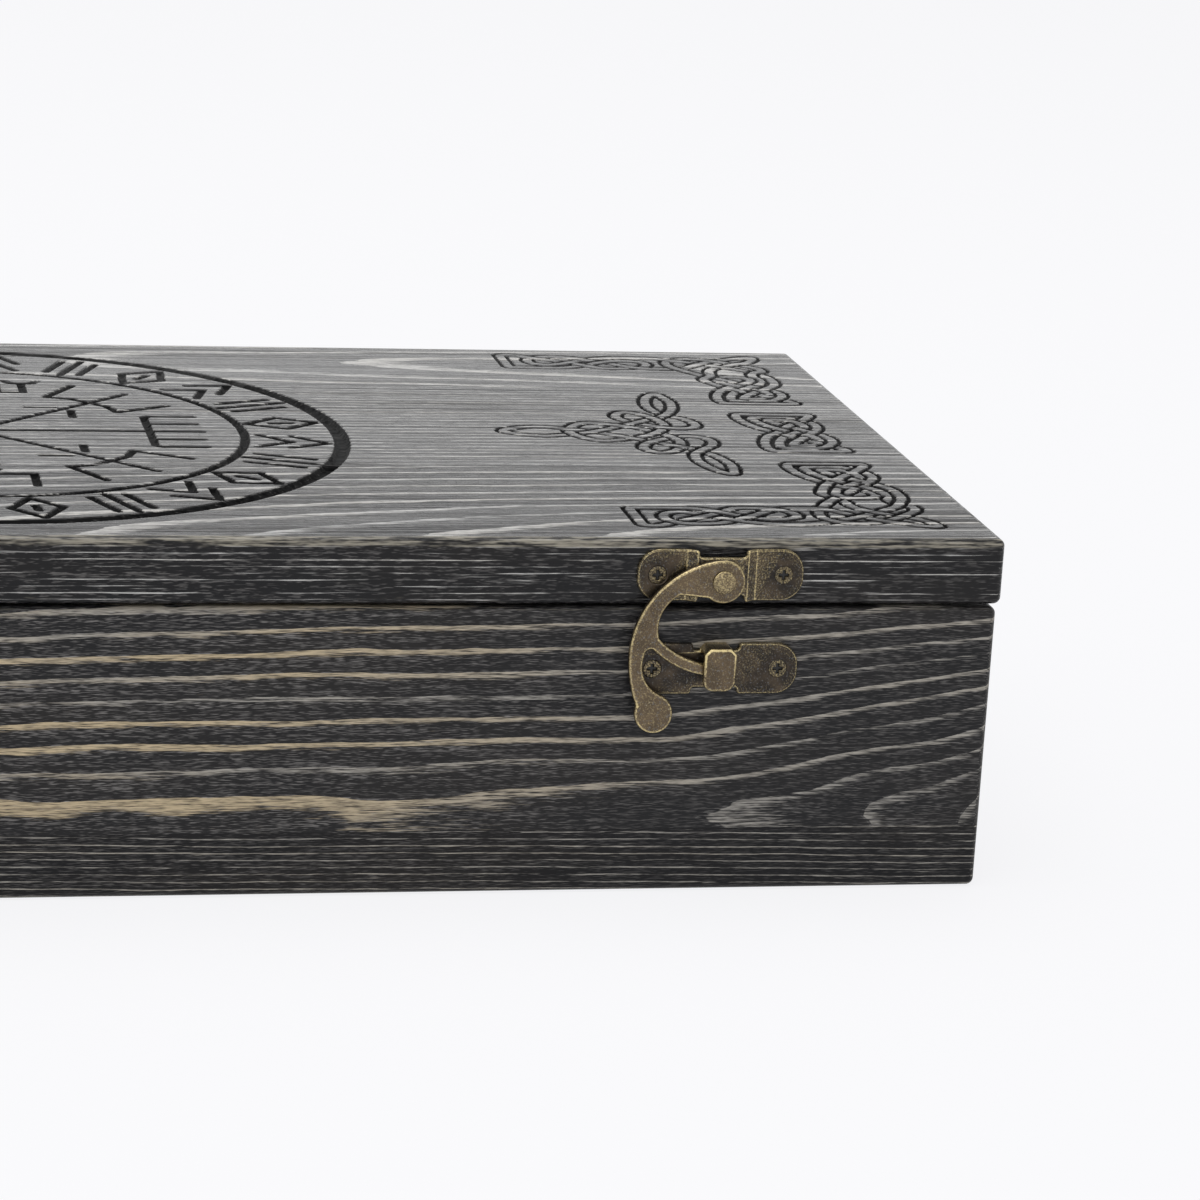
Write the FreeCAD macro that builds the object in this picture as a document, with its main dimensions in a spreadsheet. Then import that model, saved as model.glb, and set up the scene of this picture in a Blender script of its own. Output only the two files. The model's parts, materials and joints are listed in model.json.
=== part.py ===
import FreeCAD, Part
import math
import os
import re

import Sketcher
from FreeCAD import Placement, Rotation, Vector

# Wooden gift box with a hinged, edge-glued lid and two swing-hook latches.
# Millimetres. +X runs along the front, +Y goes to the back, +Z is up.
# The origin is the middle of the underside.

os.makedirs("parts", exist_ok=True)
doc = FreeCAD.newDocument("WoodenGiftBox")

# Driving sizes: name, value, what it is
driving_sizes = [
    ("case_length", 472, "length of the case, end to end"),
    ("case_depth", 212, "depth of the case, front to back"),
    ("case_height", 70, "height of the case walls"),
    ("board_thickness", 16, "thickness of the wall boards"),
    ("lower_stave_height", 15.6, "height of the front panel's lower stave"),
    ("edge_round", 1.8, "radius that eases the outer wood edges"),
    ("bottom_thickness", 6, "thickness of the bottom panel"),
    ("rabbet_width", 8, "how far the bottom panel is let into the walls"),
    ("bottom_clearance", 0.2, "gap around the bottom panel"),
    ("dowel_diameter", 6, "corner dowel diameter"),
    ("dowel_length", 30, "corner dowel length"),
    ("dowel_in_face", 10, "dowel depth in the front and back boards"),
    ("dowel_low_height", 27, "height of the lower dowel of a corner"),
    ("dowel_high_height", 50, "height of the upper dowel of a corner"),
    ("dowel_clearance", 0.05, "glue gap around a dowel"),
    ("lid_gap", 0.6, "gap between the case and the closed lid"),
    ("lid_thickness", 16, "thickness of the lid"),
    ("lid_end_overhang", 1, "how far the lid passes the case at each end"),
    ("lid_front_stave_width", 71, "width of the lid's front stave"),
    ("lid_rear_stave_width", 50, "width of the lid's rear stave"),
    ("latch_inset", 68.5, "latch centre from the end of the case"),
    ("plate_length", 40, "length of a latch plate"),
    ("plate_height", 12.4, "height of a latch plate"),
    ("plate_thickness", 1.2, "sheet thickness of the plates"),
    ("plate_corner_radius", 5.4, "corner radius of a latch plate"),
    ("plate_bevel", 0.3, "bevel of the plates' front edges"),
    ("neck_height", 9, "height of a latch plate's neck"),
    ("neck_half_length", 5.6, "half length of a latch plate's neck"),
    ("shoulder_radius", 0.8, "rounding of the neck's shoulders"),
    ("plate_screw_spacing", 30.4, "distance between a latch plate's screws"),
    ("pivot_plate_drop", 8.4, "pivot plate centre below the lid's top"),
    ("bridge_half_length", 6.2, "half length of the pivot plate's raised bridge"),
    ("bridge_ramp", 2.2, "length of the slope at each end of the bridge"),
    ("bridge_rise", 1.4, "height of the bridge above the wood"),
    ("bridge_bend_radius", 0.9, "bend radius of the bridge slopes"),
    ("rivet_drop", 0.8, "rivet centre below the pivot plate's centre"),
    ("rivet_shank_radius", 1.9, "radius of the rivet's shank"),
    ("rivet_head_radius", 2.9, "radius of the rivet's head"),
    ("rivet_head_height", 1.1, "height of the rivet's dome"),
    ("rivet_tail_radius", 2.7, "radius of the rivet's peened tail"),
    ("rivet_tail_height", 0.8, "thickness of the rivet's peened tail"),
    ("rivet_clearance", 0.05, "running gap around the rivet's shank"),
    ("hook_thickness", 2, "thickness of the hook"),
    ("hook_clearance", 0.15, "running gap on each face of the hook"),
    ("hook_head_radius", 5.2, "radius of the hook's round head"),
    ("head_low_angle", 229, "where the arm leaves the head below, degrees"),
    ("arm_reach", 21.7, "how far the arm swings out to the left"),
    ("arm_reach_drop", 18.2, "drop of the arm's outermost point"),
    ("arm_inner_radius", 9, "radius of the arm's inner edge"),
    ("neck_reach", 10.2, "start of the arm's inner edge, left of the rivet"),
    ("neck_drop", 3.2, "start of the arm's inner edge, below the rivet"),
    ("prong_radius", 21.5, "distance of the prong's middle line from the rivet"),
    ("prong_width", 2.8, "width of the prong"),
    ("prong_root_angle", 46.5, "prong root from straight down, degrees"),
    ("prong_crotch_angle", 44, "crotch of the prong from straight down, degrees"),
    ("prong_tip_angle", 4, "prong tip past straight down, degrees"),
    ("crotch_reach", 17.9, "handle side of the crotch, left of the rivet"),
    ("crotch_drop", 17.8, "handle side of the crotch, below the rivet"),
    ("crotch_radius", 1.35, "radius of the crotch"),
    ("handle_inner_radius", 7.7, "radius of the handle's inner edge"),
    ("paddle_inset", 6.4, "finger paddle centre, inside the arm's outermost point"),
    ("paddle_drop", 31.6, "finger paddle centre, below the rivet"),
    ("paddle_radius", 4.6, "radius of the finger paddle"),
    ("paddle_outer_angle", 157, "handle's outer edge on the paddle, degrees"),
    ("paddle_inner_angle", 63, "handle's inner edge on the paddle, degrees"),
    ("handle_bend_drop", 17, "where the handle bends outward, below the rivet"),
    ("handle_bend_out", 2.4, "how far the paddle's end stands out"),
    ("catch_below_prong", 0.5, "catch plate centre below the prong's middle line"),
    ("tongue_width", 7.8, "width of the catch tongue"),
    ("tongue_thickness", 1.3, "thickness of the catch tongue"),
    ("tongue_clearance", 0.3, "gap between the hook's front and the tongue"),
    ("tongue_length", 10.4, "height of the catch tongue"),
    ("tongue_edge_round", 0.7, "rounding of the tongue's front edges"),
    ("tongue_corner_cut", 1.4, "bevel of the tongue's upper corners"),
    ("tongue_end_radius", 2.6, "rounding of the tongue's free end"),
    ("screw_head_radius", 2.3, "radius of a screw head"),
    ("screw_head_depth", 1.15, "depth of a screw head's cone"),
    ("screw_shank_radius", 1.1, "radius of a screw's shank"),
    ("screw_length", 10, "length of a screw"),
    ("screw_tip_length", 2.5, "length of a screw's point"),
    ("screw_clearance", 0.06, "gap around a screw in its hole"),
    ("screw_slot_length", 2.6, "length of the cross recess"),
    ("screw_slot_width", 0.6, "width of the cross recess"),
    ("screw_slot_depth", 0.7, "depth of the cross recess"),
    ("hinge_inset", 86, "hinge centre from the end of the case"),
    ("hinge_width", 32, "length of a hinge along its pin"),
    ("leaf_height", 11.6, "height of a hinge leaf's plate"),
    ("leaf_thickness", 1.1, "sheet thickness of a hinge leaf"),
    ("leaf_corner_radius", 2, "corner radius of a hinge leaf"),
    ("leaf_screw_spacing", 20, "distance between a leaf's screws"),
    ("knuckle_radius", 2.2, "outer radius of the hinge knuckles"),
    ("knuckle_clearance", 0.15, "gap between the knuckles and the wood"),
    ("knuckle_end_gap", 0.2, "gap between neighbouring knuckles"),
    ("middle_knuckle_length", 12, "length of the lid leaf's knuckle"),
    ("leaf_setback", 0.4, "gap between a leaf's plate and the other leaf's knuckles"),
    ("pin_radius", 1.1, "radius of a hinge pin"),
    ("pin_clearance", 0.05, "running gap around a hinge pin"),
    ("pin_head_radius", 1.7, "radius of a hinge pin's heads"),
    ("pin_head_length", 0.7, "length of a hinge pin's heads"),
]
sheet = doc.addObject("Spreadsheet::Sheet", "Sizes")
for row, (alias, number, meaning) in enumerate(driving_sizes, 1):
    sheet.set(f"A{row}", meaning)
    sheet.set(f"B{row}", str(number))
    sheet.setAlias(f"B{row}", alias)
doc.recompute()
known_names = {alias for alias, number, meaning in driving_sizes}

# Heights and depths that follow from the driving sizes
front_face = "(-case_depth/2)"
inner_front = "(-case_depth/2 + board_thickness)"
lid_bottom = "(case_height + lid_gap)"
lid_top = "(case_height + lid_gap + lid_thickness)"
lid_half_length = "(case_length/2 + lid_end_overhang)"
dowel_axis = "(case_length/2 - board_thickness/2)"
latch_offset = "(case_length/2 - latch_inset)"
hinge_offset = "(case_length/2 - hinge_inset)"
pivot_plate_height = f"({lid_top} - pivot_plate_drop)"
rivet_height = f"({lid_top} - pivot_plate_drop - rivet_drop)"
catch_height = f"({rivet_height} - prong_radius - catch_below_prong)"
hinge_axis_height = "(case_height + lid_gap/2)"
hinge_axis_out = "(knuckle_radius + knuckle_clearance)"
leaf_start = "(knuckle_radius + leaf_setback)"
leaf_screw_height = f"({leaf_start} + leaf_height/2)"
hook_back = "(bridge_rise + plate_thickness + hook_clearance)"
hook_front = f"({hook_back} + hook_thickness)"
tongue_out = f"({hook_front} + tongue_clearance + tongue_thickness)"
pilot_radius = "(screw_shank_radius + screw_clearance)"
pilot_depth = "(screw_length - plate_thickness + 0.4)"


def tied(formula):
    """The formula with every driving size's name pointing at its cell."""
    return re.sub(r"[a-z_]+", lambda m: f"Sizes.{m[0]}" if m[0] in known_names else m[0], formula)


def number_of(formula):
    return float(sheet.evalExpression(tied(formula)))


def bind(feature, **formulas):
    for name, formula in formulas.items():
        feature.setExpression(name, tied(formula))


def bind_position(feature, x="0", y="0", z="0"):
    for letter, formula in (("x", x), ("y", y), ("z", z)):
        feature.setExpression(f"Placement.Base.{letter}", tied(formula))


def new_body(label, x="0", y="0", z="0", turn=0):
    """An empty body whose own frame sits at x, y, z and is turned about the upright axis."""
    body = doc.addObject("PartDesign::Body", label)
    body.Label = label
    body.Placement = Placement(Vector(), Rotation(Vector(0, 0, 1), turn))
    bind_position(body, x, y, z)
    return body


def block(body, kind, name, low, high):
    """A box between two corners, added to or taken from the body."""
    feature = body.newObject(f"PartDesign::{kind}Box", name)
    bind_position(feature, *low)
    sides = [f"({b}) - ({a})" for a, b in zip(low, high)]
    bind(feature, Length=sides[0], Width=sides[1], Height=sides[2])
    return feature


# A cylinder or cone grows along its own +Z, which these turn to the wanted way
along = {
    "x": Rotation(Vector(0, 1, 0), 90),
    "y": Rotation(Vector(1, 0, 0), -90),
    "-y": Rotation(Vector(1, 0, 0), 90),
}


def rod(body, kind, name, start, way, radius, length):
    """A cylinder from its start point along the given way."""
    feature = body.newObject(f"PartDesign::{kind}Cylinder", name)
    feature.Placement = Placement(Vector(), along[way])
    bind_position(feature, *start)
    bind(feature, Radius=radius, Height=length)
    return feature


def cone(body, kind, name, start, way, first_radius, last_radius, length):
    """A cone from its start point along the given way."""
    feature = body.newObject(f"PartDesign::{kind}Cone", name)
    feature.Placement = Placement(Vector(), along[way])
    bind_position(feature, *start)
    bind(feature, Radius1=first_radius, Radius2=last_radius, Height=length)
    return feature


def sketch_on(body, plane, name):
    """A sketch on one of the body's own origin planes."""
    sketch = body.newObject("Sketcher::SketchObject", name)
    support = next(f for f in body.Origin.OriginFeatures if f.Role == plane)
    sketch.AttachmentSupport = [(support, "")]
    sketch.MapMode = "FlatFace"
    return sketch


def arc_centre(start, end, radius, bulge):
    """Centre of the arc: "out" and "in" are the short way round, "round" is the long way round."""
    chord = end - start
    left = Vector(-chord.y, chord.x, 0).normalize()
    height = math.sqrt(max(radius**2 - (chord.Length / 2) ** 2, 0))
    side = 1 if bulge == "out" else -1
    return (start + end) * 0.5 + left * (height * side)


def pin_coordinate(sketch, kind, geometry, end, formula):
    """Ties one coordinate of a sketch point to a formula."""
    axis = -2 if kind == "DistanceX" else -1
    if formula == "0":
        sketch.addConstraint(Sketcher.Constraint("PointOnObject", geometry, end, axis))
        return
    index = sketch.addConstraint(Sketcher.Constraint(kind, -1, 1, geometry, end, number_of(formula)))
    sketch.setExpression(f"Constraints[{index}]", tied(formula))


def outline(sketch, corners, bends=None):
    """One closed outline, anticlockwise. A bend is None for a straight side, or a radius and its way."""
    bends = bends or [None] * len(corners)
    points = [Vector(number_of(x), number_of(y), 0) for x, y in corners]
    ends = []
    for i, bend in enumerate(bends):
        start, end = points[i], points[(i + 1) % len(points)]
        if bend is None:
            geometry = sketch.addGeometry(Part.LineSegment(start, end))
            ends.append((geometry, 1, 2))
            continue
        radius = number_of(bend[0])
        centre = arc_centre(start, end, radius, bend[1])
        first, last = (end, start) if bend[1] == "in" else (start, end)
        angles = [math.atan2(p.y - centre.y, p.x - centre.x) for p in (first, last)]
        circle = Part.Circle(centre, Vector(0, 0, 1), radius)
        geometry = sketch.addGeometry(Part.ArcOfCircle(circle, *angles))
        ends.append((geometry, 2, 1) if bend[1] == "in" else (geometry, 1, 2))
    for i, (x, y) in enumerate(corners):
        geometry, start, _ = ends[i]
        before, _, stop = ends[i - 1]
        sketch.addConstraint(Sketcher.Constraint("Coincident", before, stop, geometry, start))
        pin_coordinate(sketch, "DistanceX", geometry, start, x)
        pin_coordinate(sketch, "DistanceY", geometry, start, y)
    for bend, (geometry, _, _) in zip(bends, ends):
        if bend is not None:
            index = sketch.addConstraint(Sketcher.Constraint("Radius", geometry, number_of(bend[0])))
            sketch.setExpression(f"Constraints[{index}]", tied(bend[0]))


def rectangle(sketch, x0, x1, y0, y1):
    outline(sketch, [(x0, y0), (x1, y0), (x1, y1), (x0, y1)])


def pad(body, sketch, name, length, both_ways=False, reverse=False):
    feature = body.newObject("PartDesign::Pad", name)
    feature.Profile = sketch
    feature.SideType = "Symmetric" if both_ways else "One side"
    feature.Reversed = reverse
    bind(feature, Length=length)
    sketch.Visibility = False
    return feature


def cut_through(body, sketch, name):
    feature = body.newObject("PartDesign::Pocket", name)
    feature.Profile = sketch
    feature.Type = "ThroughAll"
    feature.SideType = "Symmetric"
    return feature


def revolve(body, sketch, name):
    """Turns a section about the sketch's horizontal axis."""
    feature = body.newObject("PartDesign::Revolution", name)
    feature.Profile = sketch
    feature.ReferenceAxis = (sketch, ["H_Axis"])
    feature.Angle = 360
    return feature


def edge_names(feature, wanted):
    """Names of the feature's edges for which wanted(edge) is true."""
    return [f"Edge{i}" for i, edge in enumerate(feature.Shape.Edges, 1) if wanted(edge)]


def round_edges(body, name, radius, wanted, kind="Fillet"):
    """Rounds (or bevels) the body's edges for which wanted(edge) is true."""
    doc.recompute()
    tip = body.Tip
    names = edge_names(tip, wanted)
    feature = body.newObject(f"PartDesign::{kind}", name)
    feature.Base = (tip, names)
    if kind == "Fillet":
        bind(feature, Radius=radius)
    else:
        bind(feature, Size=radius)
    return feature


def near(a, b):
    return abs(a - b) < 1e-4


def spans(edge, letter):
    """Smallest and largest coordinate of an edge along one axis."""
    box = edge.BoundBox
    return getattr(box, f"{letter}Min"), getattr(box, f"{letter}Max")


def lies_on(edge, letter, value):
    low, high = spans(edge, letter)
    return near(low, value) and near(high, value)


def runs_along(edge, letter):
    """True for a straight edge parallel to one axis."""
    box = edge.BoundBox
    lengths = {"X": box.XLength, "Y": box.YLength, "Z": box.ZLength}
    return isinstance(edge.Curve, Part.Line) and near(lengths[letter], edge.Length)


def ease(body, planes):
    """Rounds the edges in which two of the given outer planes (axis letter, formula) meet."""
    outer = [(letter, number_of(formula)) for letter, formula in planes]

    def is_outer(edge):
        return sum(lies_on(edge, letter, value) for letter, value in outer) == 2

    return round_edges(body, "eased_edges", "edge_round", is_outer)


bodies = []


def keep(body):
    bodies.append(body)
    return body


# Case boards, drawn in the box's own frame
half = "case_length/2"
end_planes = [("X", f"-{half}"), ("X", half)]


def pilot_holes(body, points, face, way):
    """Pilot holes for screws that enter a wood face at the given x and z."""
    for i, (x, z) in enumerate(points):
        rod(body, "Subtractive", f"pilot_{i}", (x, face, z), way, pilot_radius, pilot_depth)


def pair(offset, spacing):
    """Positions of two screws on each of two plates set at plus and minus the offset."""
    return [f"{side}*{offset} + {hand}*{spacing}/2" for side in (-1, 1) for hand in (-1, 1)]


latch_screw_x = pair(latch_offset, "plate_screw_spacing")
hinge_screw_x = pair(hinge_offset, "leaf_screw_spacing")
dowel_heights = ("dowel_low_height", "dowel_high_height")
dowel_bore = "(dowel_diameter/2 + dowel_clearance)"


def corner_bores(body, sides, face, way, depth):
    """Blind dowel holes bored into one board at the corner joints."""
    for i, side in enumerate(sides):
        for j, height in enumerate(dowel_heights):
            start = (f"{side}*{dowel_axis}", face, height)
            rod(body, "Subtractive", f"dowel_hole_{i}{j}", start, way, dowel_bore, depth)


def stopped_rabbet(body, low_y, high_y):
    reach = "(case_length/2 - board_thickness + rabbet_width)"
    low = (f"-{reach}", low_y, "-1")
    block(body, "Subtractive", "rabbet", low, (reach, high_y, "bottom_thickness"))


face_depth = "(dowel_in_face + 0.3)"
end_depth = "(dowel_length - dowel_in_face + 0.3)"

front_upper = new_body("front_upper_stave")
low = (f"-{half}", front_face, "lower_stave_height")
block(front_upper, "Additive", "sawn_stave", low, (half, inner_front, "case_height"))
ease(front_upper, end_planes + [("Y", front_face), ("Z", "case_height")])
corner_bores(front_upper, (-1, 1), inner_front, "-y", face_depth)
pilot_holes(front_upper, [(x, catch_height) for x in latch_screw_x], front_face, "y")
keep(front_upper)

front_lower = new_body("front_lower_stave")
low = (f"-{half}", front_face, "0")
block(front_lower, "Additive", "sawn_stave", low, (half, inner_front, "lower_stave_height"))
ease(front_lower, end_planes + [("Y", front_face), ("Z", "0")])
stopped_rabbet(front_lower, f"{inner_front} - rabbet_width", f"{inner_front} + 1")
keep(front_lower)

back = new_body("back_board")
low = (f"-{half}", "case_depth/2 - board_thickness", "0")
block(back, "Additive", "sawn_board", low, (half, "case_depth/2", "case_height"))
ease(back, end_planes + [("Y", "case_depth/2"), ("Z", "0"), ("Z", "case_height")])
corner_bores(back, (-1, 1), "case_depth/2 - board_thickness", "y", face_depth)
pilot_holes(
    back, [(x, f"{hinge_axis_height} - {leaf_screw_height}") for x in hinge_screw_x], "case_depth/2", "-y"
)
stopped_rabbet(back, "case_depth/2 - board_thickness - 1", "case_depth/2 - board_thickness + rabbet_width")
keep(back)

for hand, side in (("left", -1), ("right", 1)):
    board = new_body(f"{hand}_side_board")
    xs = [f"{side}*{half}", f"{side}*({half} - board_thickness)"]
    xs = xs if side < 0 else xs[::-1]
    near_end, far_end = (xs[0], inner_front, "0"), (xs[1], f"-{inner_front}", "case_height")
    block(board, "Additive", "sawn_board", near_end, far_end)
    ease(board, [("X", f"{side}*{half}"), ("Z", "0"), ("Z", "case_height")])
    corner_bores(board, (side,), inner_front, "y", end_depth)
    corner_bores(board, (side,), f"-{inner_front}", "-y", end_depth)
    inner = f"{side}*({half} - board_thickness - 1)"
    outer = f"{side}*({half} - board_thickness + rabbet_width)"
    lows, highs = (inner, outer) if side > 0 else (outer, inner)
    rabbet_low = (lows, f"{inner_front} - 1", "-1")
    rabbet_high = (highs, f"-{inner_front} + 1", "bottom_thickness")
    block(board, "Subtractive", "rabbet", rabbet_low, rabbet_high)
    keep(board)

bottom = new_body("bottom_panel")
panel_x = "(case_length/2 - board_thickness + rabbet_width - bottom_clearance)"
panel_y = "(case_depth/2 - board_thickness + rabbet_width - bottom_clearance)"
low = (f"-{panel_x}", f"-{panel_y}", "0")
block(bottom, "Additive", "panel", low, (panel_x, panel_y, "bottom_thickness"))
keep(bottom)


def group(label, template, places):
    """Copies of one piece at several places, kept together as separate solids."""
    copies = []
    for i, (x, y, z, turn) in enumerate(places):
        copy = doc.addObject("App::Link", f"{label}_{i}")
        copy.LinkedObject = template
        copy.LinkPlacement = Placement(Vector(), Rotation(Vector(0, 0, 1), turn))
        for letter, formula in (("x", x), ("y", y), ("z", z)):
            copy.setExpression(f"LinkPlacement.Base.{letter}", tied(formula))
        copies.append(copy)
    compound = doc.addObject("Part::Compound", label)
    compound.Label = label
    compound.Links = copies
    return keep(compound)


dowel = new_body("dowel")
rod(dowel, "Additive", "peg", ("0", "-dowel_in_face", "0"), "y", "dowel_diameter/2", "dowel_length")
dowel_places = [
    (f"{side}*{dowel_axis}", inner_front if turn == 0 else f"-{inner_front}", height, turn)
    for side in (-1, 1)
    for turn in (0, 180)
    for height in dowel_heights
]
group("corner_dowels", dowel, dowel_places)

# Lid, three edge-glued staves
stave_edges = [
    front_face,
    f"{front_face} + lid_front_stave_width",
    "case_depth/2 - lid_rear_stave_width",
    "case_depth/2",
]
lid_planes = [("X", f"-{lid_half_length}"), ("X", lid_half_length), ("Z", lid_bottom), ("Z", lid_top)]
lid_planes += [("Y", front_face), ("Y", "case_depth/2")]
for i, place in enumerate(("front", "middle", "rear")):
    stave = new_body(f"lid_{place}_stave")
    low = (f"-{lid_half_length}", stave_edges[i], lid_bottom)
    block(stave, "Additive", "sawn_stave", low, (lid_half_length, stave_edges[i + 1], lid_top))
    ease(stave, lid_planes)
    if place == "front":
        pilot_holes(stave, [(x, pivot_plate_height) for x in latch_screw_x], front_face, "y")
    if place == "rear":
        points = [(x, f"{hinge_axis_height} + {leaf_screw_height}") for x in hinge_screw_x]
        pilot_holes(stave, points, "case_depth/2", "-y")
    keep(stave)

# Hardware is drawn with the wood face at y = 0 and the outside towards -y
screw = new_body("screw")
section = sketch_on(screw, "XY_Plane", "section")
head_bottom = "(screw_head_depth - plate_thickness)"
tip = "(screw_length - plate_thickness)"
section_points = [
    ("-plate_thickness", "0"),
    (tip, "0"),
    (f"{tip} - screw_tip_length", "screw_shank_radius"),
    (head_bottom, "screw_shank_radius"),
    ("-plate_thickness", "screw_head_radius"),
]
screw_sketch = [(radius, along_axis) for along_axis, radius in section_points]
outline(section, screw_sketch[::-1])
turned = screw.newObject("PartDesign::Revolution", "turned_blank")
turned.Profile = section
turned.ReferenceAxis = (section, ["V_Axis"])
turned.Angle = 360
slot_half = "screw_slot_length/2"
slot_side = "screw_slot_width/2"
slot_floor = "screw_slot_depth - plate_thickness"
slot_top = "-plate_thickness - 1"
for slot, wide, high in (("slot_a", slot_half, slot_side), ("slot_b", slot_side, slot_half)):
    block(screw, "Subtractive", slot, (f"-{wide}", slot_top, f"-{high}"), (wide, slot_floor, high))


def screw_holes(body, spacing, thickness, height="0"):
    """Two countersunk holes through a sheet of the given thickness."""
    slope = "(screw_head_radius - screw_shank_radius)"
    for i, side in enumerate((-1, 1)):
        x = f"{side}*{spacing}/2"
        start = (x, "1", height)
        rod(body, "Subtractive", f"screw_hole_{i}", start, "-y", pilot_radius, f"{thickness} + 2")
        mouth = (x, f"-{thickness}", height)
        radius = "(screw_head_radius + screw_clearance)"
        floor_radius = f"({radius} - {slope})"
        cone(body, "Subtractive", f"countersink_{i}", mouth, "y", radius, floor_radius, "screw_head_depth")


half_plate = "plate_length/2"
half_height = "plate_height/2"


def round_plate(body):
    """Rounds the plate's corners, cuts its neck, then bevels its front outline."""
    reach = number_of(half_plate)
    rise = number_of(half_height)

    def is_corner(edge):
        x, z = spans(edge, "X"), spans(edge, "Z")
        return runs_along(edge, "Y") and near(abs(x[0]), reach) and near(abs(z[0]), rise)

    round_edges(body, "round_corners", "plate_corner_radius", is_corner)
    shoulder = number_of("neck_half_length")
    neck = number_of("neck_height/2")
    for name, way in (("upper_notch", 1), ("lower_notch", -1)):
        ends = [f"{way}*neck_height/2", f"{way}*(plate_height/2 + 1)"]
        ends = ends if way > 0 else ends[::-1]
        low = ("-neck_half_length", "-plate_thickness - bridge_rise - 1", ends[0])
        block(body, "Subtractive", name, low, ("neck_half_length", "1", ends[1]))

    def is_shoulder(edge):
        x, z = spans(edge, "X"), spans(edge, "Z")
        at_shoulder = runs_along(edge, "Y") and near(abs(x[0]), shoulder)
        return at_shoulder and any(near(abs(z[0]), height) for height in (neck, rise))

    round_edges(body, "round_shoulders", "shoulder_radius", is_shoulder)
    front = -number_of("plate_thickness")

    def is_front_outline(edge):
        return lies_on(edge, "Y", front) and not runs_along(edge, "Z")

    round_edges(body, "bevelled_front", "plate_bevel", is_front_outline, "Chamfer")


def pivot_plate(hand, side):
    """The lid's latch plate: two flat screw pads and a raised bridge that carries the rivet."""
    body = new_body(f"{hand}_pivot_plate", f"{side}*{latch_offset}", front_face, pivot_plate_height)
    section = sketch_on(body, "XY_Plane", "bent_section")
    foot = "(bridge_half_length + bridge_ramp)"
    top = "bridge_half_length"
    back_line = [(f"-{half_plate}", "0"), (f"-{foot}", "0"), (f"-{top}", "-bridge_rise")]
    back_line += [(top, "-bridge_rise"), (foot, "0"), (half_plate, "0")]
    front_line = [(x, f"{y} - plate_thickness") for x, y in back_line]
    front_line = [(x, "-plate_thickness" if y == "0 - plate_thickness" else y) for x, y in front_line]
    outline(section, front_line + back_line[::-1])
    pad(body, section, "bent_strip", "plate_height", both_ways=True)
    bends = [number_of(top), number_of(foot)]

    def is_bend(edge):
        x = spans(edge, "X")
        return runs_along(edge, "Z") and any(near(abs(x[0]), bend) for bend in bends)

    round_edges(body, "bridge_bends", "bridge_bend_radius", is_bend)
    round_plate(body)
    screw_holes(body, "plate_screw_spacing", "plate_thickness")
    bore = "(rivet_shank_radius + rivet_clearance)"
    bore_length = "bridge_rise + plate_thickness + 2"
    rod(body, "Subtractive", "rivet_hole", ("0", "1", "-rivet_drop"), "-y", bore, bore_length)
    return keep(body)


def catch_plate(hand, side):
    """The case's latch plate: a flat plate whose folded tongue the prong slides behind."""
    body = new_body(f"{hand}_catch_plate", f"{side}*{latch_offset}", front_face, catch_height)
    block(
        body,
        "Additive",
        "plate",
        (f"-{half_plate}", "-plate_thickness", f"-{half_height}"),
        (half_plate, "0", half_height),
    )
    round_plate(body)
    front = sketch_on(body, "XZ_Plane", "tongue_outline")
    wide = "tongue_width/2"
    end = f"({half_height} - tongue_length)"
    cut = "tongue_corner_cut"
    curve = "tongue_end_radius"
    corners = [
        (f"-{wide} + {curve}", end),
        (f"{wide} - {curve}", end),
        (wide, f"{end} + {curve}"),
        (wide, f"{half_height} - {cut}"),
        (f"{wide} - {cut}", half_height),
        (f"-{wide} + {cut}", half_height),
        (f"-{wide}", f"{half_height} - {cut}"),
        (f"-{wide}", f"{end} + {curve}"),
    ]
    outline(front, corners, [None, (curve, "out"), None, None, None, None, None, (curve, "out")])
    pad(body, front, "tongue_block", tongue_out)
    out = number_of(tongue_out)

    def is_tongue_front(edge):
        return lies_on(edge, "Y", -out)

    round_edges(body, "tongue_edges", "tongue_edge_round", is_tongue_front)
    channel_low = (f"-{wide} - 1", f"-{tongue_out} + tongue_thickness", f"{end} - 1")
    channel_high = (f"{wide} + 1", "-plate_thickness", f"{half_height} - tongue_thickness")
    block(body, "Subtractive", "prong_channel", channel_low, channel_high)
    screw_holes(body, "plate_screw_spacing", "plate_thickness")
    return keep(body)


def polar(radius, degrees):
    return (f"{radius}*cos({degrees})", f"{radius}*sin({degrees})")


def around(centre, radius, degrees):
    x, z = polar(radius, degrees)
    return (f"{centre[0]} + {x}", f"{centre[1]} + {z}")


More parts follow.
